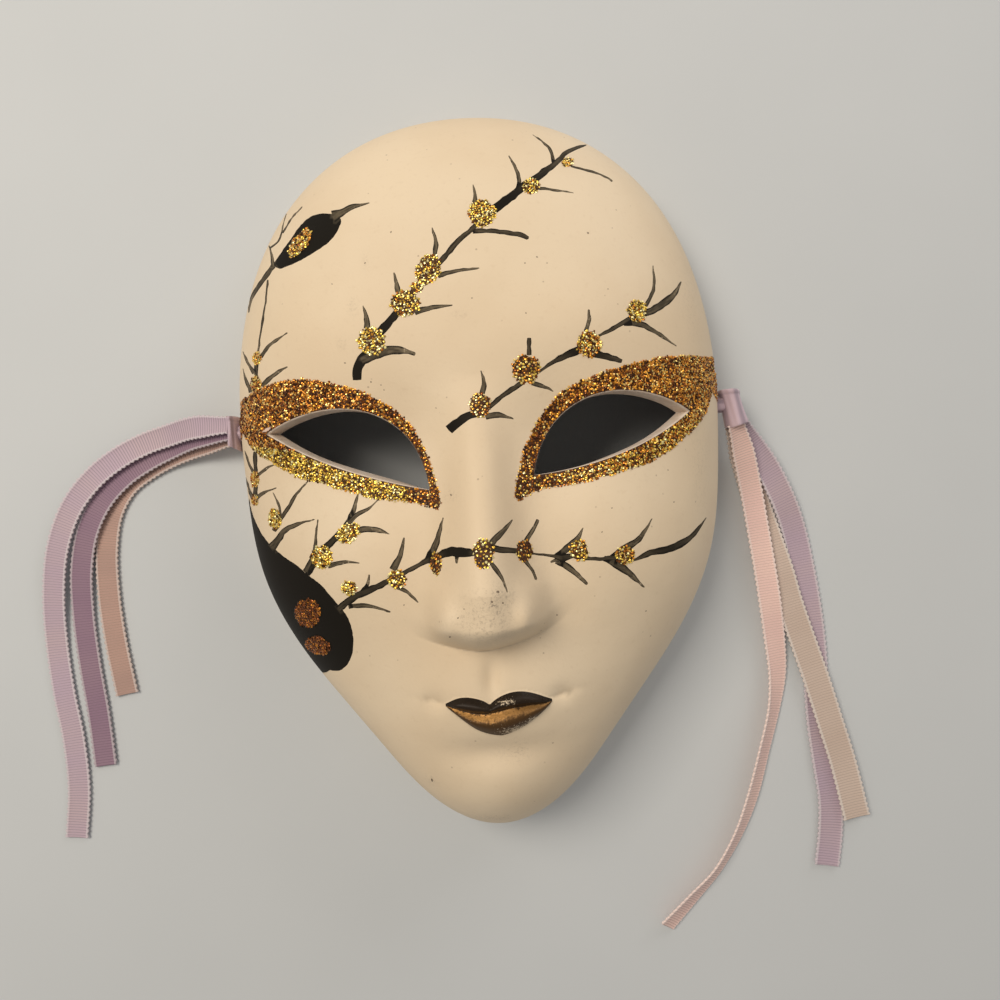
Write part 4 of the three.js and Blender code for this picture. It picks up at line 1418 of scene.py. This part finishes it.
def shell_parts(mesh):
    """The shell's points, and its groups of faces, each with kinds, normals and chart places."""
    points = [mesh["face"], mesh["inner"]]
    face_count = len(mesh["face"])
    total = face_count + len(mesh["inner"])
    outer, inner = mesh["triangles"], mesh["inner_triangles"]
    face_chart = FACE_CHART["at"] + FACE_CHART["size"] / SHEET_RADIUS * mesh["flat"][outer]
    inner_chart = INNER_CHART["at"] + INNER_CHART["size"] / SHEET_RADIUS * mesh["inner_flat"][inner]
    inner_kind = np.full(len(inner), KINDS.index("inside"))
    parts = [
        (outer, mesh["kind"], mesh["normals"][outer], face_chart),
        (inner + face_count, inner_kind, mesh["inner_normals"][inner], inner_chart),
    ]
    for number in WALL_LANES:
        ring, inner_ring = mesh["rings"][number], mesh["inner_rings"][number]
        low, high = WALL_LANES[number]
        count = len(ring)
        levels, level_normals = [ring], [np.tile([0.0, 0.0, -1.0], (count, 1))] * 2
        if number != RIM:
            rows, row_normals, wall_normal = wall_between(
                mesh["face"][ring], mesh["normals"][ring], mesh["inner"][inner_ring]
            )
            points += rows
            levels += [np.arange(count) + total + k * count for k in range(len(rows))]
            total += len(rows) * count
            level_normals = [mesh["normals"][ring], *row_normals, wall_normal]
        levels.append(inner_ring + face_count)
        u0 = 0.02 + 0.56 * (np.arange(count) / count)
        u1 = 0.02 + 0.56 * (np.arange(count) / count + 1 / count)
        for row in range(len(levels) - 1):
            near, far = level_normals[row], level_normals[row + 1]
            normals = [near, np.roll(near, -1, axis=0), np.roll(far, -1, axis=0), far]
            v0, v1 = (low + (high - low) * k / (len(levels) - 1) for k in (row, row + 1))
            chart = [
                np.column_stack([u, np.full(count, v)])
                for u, v in ((u0, v0), (u1, v0), (u1, v1), (u0, v1))
            ]
            quads = quads_between(levels[row], levels[row + 1])
            kinds = np.full(count, KINDS.index("wall"))
            parts.append((quads, kinds, np.stack(normals, axis=1), np.stack(chart, axis=1)))
    return np.vstack(points), parts


def make_shell(looks):
    """Makes the shell as one closed mesh, and gives back what the glitter needs of it."""
    mesh = build_shell()
    brush, wash = brush_maps(mesh)
    points, parts = shell_parts(mesh)
    used = np.unique(np.concatenate([faces.ravel() for faces, _, _, _ in parts]))
    place = np.zeros(len(points), int)
    place[used] = np.arange(len(used))
    all_faces, all_kinds, all_normals, all_charts = [], [], [], []
    for faces, kinds, normals, chart in parts:
        # A group whose winding disagrees with its own normals is turned over
        corners = points[faces]
        cross = np.cross(corners[:, 1] - corners[:, 0], corners[:, 2] - corners[:, 0])
        if np.mean(np.sum(cross * normals.mean(axis=1), axis=1) < 0) > 0.5:
            faces, normals, chart = faces[:, ::-1], normals[:, ::-1], chart[:, ::-1]
        all_faces += place[faces].tolist()
        all_kinds.append(kinds)
        all_normals.append(normals.reshape(-1, 3))
        all_charts.append(chart.reshape(-1, 2))
    normals = np.vstack(all_normals)
    maps = {"OFBake": np.vstack(all_charts)}
    painted = mesh["triangles"]
    for name, values in (("Brush", brush), ("Wash", wash)):
        maps[name] = np.zeros((len(normals), 2))
        maps[name][: painted.size] = values[painted].reshape(-1, 2)
    materials = [looks[kind] for kind in KINDS]
    kinds = np.concatenate(all_kinds)
    piece = new_mesh("mask_face", points[used] * MM, all_faces, materials, kinds, normals, maps)
    soil = np.zeros(len(points))
    soil[: len(mesh["face"])] = soil_of(mesh)
    layer = piece.data.attributes.new("soil", "FLOAT", "POINT")
    layer.data.foreach_set("value", soil[used])
    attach(piece, "root")
    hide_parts("mask_shell")
    return mesh


# Materials of the shell

# The lips' main paint, the gold of the band under the mouth line, which is a painted highlight, the
# darker paint at the lip's outer edge, which is painted shade, and how metallic it is. The upper lip's
# paint is darker than the lower's, partly its own colour and partly painted shade as it faces down
LIP_LOOKS = {
    "upper_lip": ((0.020, 0.011, 0.005), (0.030, 0.017, 0.008), (0.012, 0.007, 0.004), 0.0),
    "lower_lip": ((0.09, 0.045, 0.015), (0.78, 0.41, 0.13), (0.045, 0.022, 0.009), 0.3),
}
# A name, two mottled colours, the scale of the mottle, the roughness and the bumps' height in metres
PLAIN_LOOKS = {
    "glue": ("glue", ((0.10, 0.036, 0.010), (0.04, 0.014, 0.005)), 1.2, 0.6, 0.0002),
    "bare": ("bare_spot", ((0.78, 0.62, 0.52), (0.72, 0.52, 0.42)), 0.8, 0.6, 0.0002),
    "speck": ("speck", ((0.15, 0.11, 0.075), (0.32, 0.25, 0.18)), 1.5, 0.7, 0.0002),
    "wall": ("cut_wall", ((0.74, 0.64, 0.55), (0.66, 0.54, 0.44)), 0.4, 0.65, 0.0002),
    "inside": ("inside", ((0.30, 0.225, 0.16), (0.25, 0.185, 0.13)), 0.12, 0.8, 0.0005),
}
GLAZE = (0.745, 0.600, 0.425)
GLAZE_PALE = (0.80, 0.665, 0.49)
PAINT = (0.012, 0.010, 0.0075)
PAINT_THIN = (0.27, 0.215, 0.14)
GLAZE_GRAIN = (0.62, 0.48, 0.33)
PINHOLE = (0.16, 0.11, 0.075)
SOILED = (0.32, 0.26, 0.20)


def glaze_colour(look):
    """Cream ceramic: faint clouds, scattered pinholes and grey soiling where it was handled."""
    place = look.place()
    clouds = look.noise(place, 0.03, 3.0)
    colour = look.mix(look.ramp(clouds, 0.3, 0.7), GLAZE, GLAZE_PALE)
    grain = look.noise(place, 0.9, 2.0)
    colour = look.mix(look.ramp(grain, 0.55, 0.85, 0.0, 0.22), colour, GLAZE_GRAIN)
    pin = look.ramp(look.cells(place, 0.33), 0.045, 0.09, 0.4, 0.0)
    sparse = look.ramp(look.noise(place, 0.11, 1.0), 0.52, 0.6)
    colour = look.mix(look.times(pin, sparse), colour, PINHOLE)
    soil = look.node("ShaderNodeAttribute", attribute_name="soil").outputs["Fac"]
    patchy = look.ramp(look.noise(place, 1.7, 4.0, 0.7), 0.50, 0.64)
    grime = look.times(soil, look.math("MULTIPLY_ADD", patchy, 0.8, 0.08))
    return look.mix(grime, colour, SOILED), soil


def glaze_look():
    """The bare glaze: a little uneven, and rough where it is soiled."""
    look = Look("glaze", Roughness=0.58, Specular_IOR_Level=0.32)
    colour, soil = glaze_colour(look)
    look.set("Base Color", colour)
    place = look.place()
    uneven = look.noise(place, 0.09)
    fine = look.times(look.noise(place, 1.6), 0.10)
    rough = look.times(look.noise(place, 2.0, 4.0, 0.7), look.times(soil, 0.9))
    look.bump(look.math("ADD", look.math("ADD", uneven, fine), rough), 0.5, 0.0006)
    return look.material


def paint_look():
    """Black brushed thin: dark along a stroke's edges, sheer down its middle, worn at its tip."""
    look = Look("paint", Roughness=0.6, Specular_IOR_Level=0.08)
    along, across = look.split("Brush")
    sheer, seed = look.split("Wash")
    # The seed gives every stroke streaks of its own
    streak_at = look.joined(look.times(along, 0.5), look.times(across, 1.6), look.times(seed, 40.0))
    streak = look.noise(streak_at, 1.0)
    middle = look.ramp(look.math("ABSOLUTE", across), 0.4, 0.95, 1.0, 0.0)
    share = look.times(middle, look.ramp(streak, 0.3, 0.7, 0.35, 1.0))
    colour = look.mix(look.times(share, sheer), PAINT, PAINT_THIN)
    worn = look.noise(look.place(), 1.5, 3.0, 0.6)
    through = look.ramp(look.math("ADD", look.times(sheer, 0.6), worn), 0.98, 1.3)
    glaze, _ = glaze_colour(look)
    look.set("Base Color", look.mix(look.times(through, 0.8), colour, glaze))
    look.bump(streak, 0.25, 0.0002)
    return look.material


def lip_look(name):
    """Dark paint with a painted gold highlight under the mouth line, brightest at the left, painted
    shade towards the outer edge, and chipped.
    """
    main, gold, outer, metallic = LIP_LOOKS[name]
    look = Look(name, Roughness=0.5, Specular_IOR_Level=0.25)
    along, share = look.split("Brush")
    wear, _ = look.split("Wash")
    streak = look.noise(look.joined(look.times(along, 0.5), look.times(share, 4.0)), 1.0, 3.0)
    grain = look.noise(look.place(), 2.6)
    uneven = look.math("ADD", streak, grain)
    depth = look.math("MULTIPLY_ADD", uneven, 0.3, look.math("ABSOLUTE", share))
    # The gold band is a painted highlight where the lower lip turns to the light, fading to the right
    band = look.times(look.ramp(depth, 0.40, 0.68, 1.0, 0.0), look.ramp(depth, 0.28, 0.38))
    lit = look.times(band, look.ramp(along, -4.0, 8.0, 0.95, 0.35))
    # The paint darkens towards the lip's outer edge as painted shade, and the highlight lies over it
    colour = look.mix(lit, look.mix(look.ramp(depth, 0.8, 1.2), main, outer), gold)
    chips = look.noise(look.place(), 2.4, 4.0, 0.7)
    worn = look.ramp(look.math("MULTIPLY_ADD", wear, 0.24, chips), 0.66, 0.76, 0.0, 0.85)
    glaze, _ = glaze_colour(look)
    look.set("Base Color", look.mix(worn, colour, glaze))
    look.set("Metallic", look.times(look.math("SUBTRACT", 1.0, worn), metallic))
    look.bump(streak, 0.3, 0.0002)
    return look.material


def plain_look(kind):
    """Two mottled colours with small bumps."""
    name, colours, scale, roughness, bump_size = PLAIN_LOOKS[kind]
    look = Look(name, Roughness=roughness, Specular_IOR_Level=0.3)
    spread = look.ramp(look.noise(look.place(), scale, 3.0, 0.6), 0.35, 0.65)
    look.set("Base Color", look.mix(spread, *colours))
    look.bump(look.noise(look.place(), 2.5 * scale, 3.0), 0.5, bump_size)
    return look.material


def shell_looks():
    """One material for each kind of surface on the shell."""
    looks = {"glaze": glaze_look(), "paint": paint_look()}
    looks.update({kind: lip_look(kind) for kind in LIP_LOOKS})
    looks.update({kind: plain_look(kind) for kind in PLAIN_LOOKS})
    return looks


# Glitter

# Foil grains: least distance and sizes in mm, greatest lean in degrees, thickness as a share
GLITTER_SPACING = 0.35
GRAIN_SIDES = 6
GRAIN_SIZES = (0.18, 0.29)
GRAIN_LEAN = 40
GRAIN_THICK = 0.24
# The hues of the grains, each in tones from dark to bright. The tones are painted light: the dark ones
# are painted shade on foil that faces away from the lamp, the brightest ones painted glints
TONES = {
    "dark": ((0.06, 0.017, 0.004), (0.26, 0.075, 0.012), (0.70, 0.27, 0.035), (1.0, 0.62, 0.20)),
    "orange": ((0.11, 0.032, 0.005), (0.46, 0.155, 0.016), (0.95, 0.43, 0.05), (1.0, 0.74, 0.24)),
    "yellow": ((0.12, 0.055, 0.009), (0.62, 0.38, 0.05), (1.0, 0.70, 0.12), (1.0, 0.88, 0.42)),
}
HUES = list(TONES)
DARK, ORANGE, YELLOW = range(len(HUES))
TONE_STEPS = 4
# The shares of grains up to each tone, from the darkest on
LID_TONES = [0.24, 0.5, 0.84]
BERRY_TONES = [0.08, 0.26, 0.68]
# The glued regions are counted: the two bands first, then the yellow, brown and dull berries
BANDS = 2
FIRST_BROWN = BANDS + len(BERRIES["yellow"])
FIRST_DULL = FIRST_BROWN + len(BERRIES["brown"])
TRIES_PER_MM2 = 140


def glitter_look():
    """Foil whose colour comes from a small chart: one row for each hue, one step for each tone."""
    look = Look("glitter", Metallic=0.62, Roughness=0.24)
    step, row = look.split("OFBake")
    colour = None
    for r, hue in enumerate(HUES):
        line = None
        for k, tone in enumerate(TONES[hue]):
            on = look.ramp(step, k / TONE_STEPS - 0.01, k / TONE_STEPS + 0.01)
            line = tone if line is None else look.mix(on, line, tone)
        on = look.ramp(row, r / len(HUES) - 0.01, r / len(HUES) + 0.01)
        colour = line if colour is None else look.mix(on, colour, line)
    look.set("Base Color", colour)
    return look.material


def scattered(tries_wanted, outline, gap):
    """Random places inside an outline of the sheet, none closer to another than the gap."""
    tries = random.uniform(outline.min(axis=0), outline.max(axis=0), (tries_wanted, 2))
    tries = tries[inside(tries, outline)]
    cell = gap / math.sqrt(2)
    grid, kept = {}, []
    for x, y in tries:
        i, j = int(x // cell), int(y // cell)
        near = (grid.get((i + p, j + q)) for p in (-2, -1, 0, 1, 2) for q in (-2, -1, 0, 1, 2))
        if all(n is None or (n[0] - x) ** 2 + (n[1] - y) ** 2 > gap * gap for n in near):
            grid[(i, j)] = (x, y)
            kept.append((x, y))
    return np.array(kept)


def grow(outline, distance):
    """The outline moved outwards by the distance."""
    ahead = np.roll(outline, -1, axis=0) - np.roll(outline, 1, axis=0)
    side = unit(np.column_stack([ahead[:, 1], -ahead[:, 0]]))
    (x, y), (next_x, next_y) = outline.T, np.roll(outline, -1, axis=0).T
    return outline + side * distance * np.sign(np.sum(x * next_y - y * next_x))


def make_grains(name, sheet_points, tones, hues, look):
    """Small six-sided foil grains lying every which way on the face."""
    a, b = disc_of(sheet_points)
    at = face_point(a, b)
    normal = face_normal(a, b)
    count = len(at)
    size = random.uniform(*GRAIN_SIZES, count)
    lean = np.radians(random.uniform(0, GRAIN_LEAN, count))
    about = random.uniform(0, 2 * math.pi, count)
    east = unit(np.cross(np.tile([0.0, 1.0, 0.0], (count, 1)), normal))
    north = np.cross(normal, east)
    flat = east * np.cos(about)[:, None] + north * np.sin(about)[:, None]
    up = unit(normal * np.cos(lean)[:, None] + flat * np.sin(lean)[:, None])
    first = unit(np.cross(up, flat))
    second = np.cross(up, first)
    centre = at + normal * (0.06 + 0.5 * size * np.sin(lean))[:, None]
    turn = np.arange(GRAIN_SIDES) * 2 * math.pi / GRAIN_SIDES
    ring = centre[:, None] + size[:, None, None] * (
        first[:, None] * np.cos(turn)[None, :, None] + second[:, None] * np.sin(turn)[None, :, None]
    )
    thick = GRAIN_THICK * size[:, None]
    top, bottom = centre + up * thick, centre - up * thick
    points = np.concatenate([ring, top[:, None], bottom[:, None]], axis=1)
    follow = [(k + 1) % GRAIN_SIDES for k in range(GRAIN_SIDES)]
    tops = [(k, follow[k], GRAIN_SIDES) for k in range(GRAIN_SIDES)]
    bottoms = [(follow[k], k, GRAIN_SIDES + 1) for k in range(GRAIN_SIDES)]
    pattern = np.array(tops + bottoms)
    faces = (pattern[None] + (np.arange(count) * (GRAIN_SIDES + 2))[:, None, None]).reshape(-1, 3)
    # Every facet of a grain lies on the chart as a small triangle round the grain's own colour
    thirds = 2 * np.pi * np.arange(3) / 3
    spread = 0.07 * np.column_stack([np.cos(thirds), np.sin(thirds)])
    corners = np.repeat(np.column_stack([tones, hues]), 3 * len(pattern), axis=0)
    corners += np.tile(spread, (len(faces), 1))
    piece = new_mesh(name, points.reshape(-1, 3) * MM, faces, [look], maps={"OFBake": corners})
    piece.data.polygons.foreach_set("use_smooth", np.zeros(len(faces), bool))
    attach(piece, "root")


def grain_hues(name, plan, rank, chance):
    """Each grain's hue. On the lids the gold is painted lit and shaded: yellow on the lower band as a
    painted highlight, copper and orange elsewhere as painted shade. The berries differ.
    """
    outward = np.abs(plan[:, 0])
    low = plan[:, 1] < 1.5 + 0.21 * (outward - 26)
    if name == "glitter_left_eye":
        # The lower band's outer half is bright yellow as a painted highlight, the rest copper brown as
        # painted shade
        yellow = low & (outward > 14) & (chance > 0.08)
        return np.where(yellow, YELLOW, np.where(chance < 0.35, ORANGE, DARK))
    if name == "glitter_right_eye":
        # The right lids have fewer yellow grains than the left ones: painted shade on the darker side
        # of the face, with yellow grains on the lower band as a painted highlight
        rest = np.where(chance < 0.25 + outward / 70, ORANGE, DARK)
        return np.where(low & (chance > 0.65), YELLOW, rest)
    brown = np.where(chance < 0.35, YELLOW, np.where(chance < 0.65, ORANGE, DARK))
    hue = np.where(rank < FIRST_BROWN, np.where(chance < 0.8, YELLOW, ORANGE), brown)
    return np.where(rank < FIRST_DULL, hue, DARK)


def make_glitter(mesh, look):
    """Glitter over every glued region, with stray grains just past its edge."""
    holes = [grow(mesh["flat"][mesh["rings"][number]], 0.12) for number in EYE_RINGS]
    bare = [outline for outline, kind, _ in mesh["regions"] if kind == "bare"]
    glued = [outline for outline, kind, _ in mesh["regions"] if kind == "glue"]
    groups = {"glitter_left_eye": [], "glitter_right_eye": [], "glitter_dots": []}
    for number, outline in enumerate(glued):
        fringe = 0.2 if number < BANDS else 0.08
        area = np.ptp(outline[:, 0]) * np.ptp(outline[:, 1])
        places = scattered(int(area * TRIES_PER_MM2), grow(outline, fringe), GLITTER_SPACING)
        for kept_clear in (*holes, *bare):
            places = places[~inside(places, kept_clear)]
        groups[list(groups)[min(number, BANDS)]].append((places, number))
    for name, batches in groups.items():
        places = np.vstack([batch for batch, _ in batches])
        rank = np.concatenate([np.full(len(batch), number) for batch, number in batches])
        steps = BERRY_TONES if name == "glitter_dots" else LID_TONES
        chance = random.uniform(0, 1, len(places))
        tones = np.searchsorted(steps, chance) / TONE_STEPS + 0.5 / TONE_STEPS
        chance = random.uniform(0, 1, len(places))
        hue = grain_hues(name, face_point(*disc_of(places)), rank, chance)
        faint = np.where(chance < 0.35, 2.5, 1.5) / TONE_STEPS
        tones = np.where(rank >= FIRST_DULL, np.minimum(tones, faint), tones)
        make_grains(name, places, tones, hue / len(HUES) + 0.5 / len(HUES), look)


make_camera()
make_floor()
make_lights()
make_ribbons()
shell = make_shell(shell_looks())
make_glitter(shell, glitter_look())
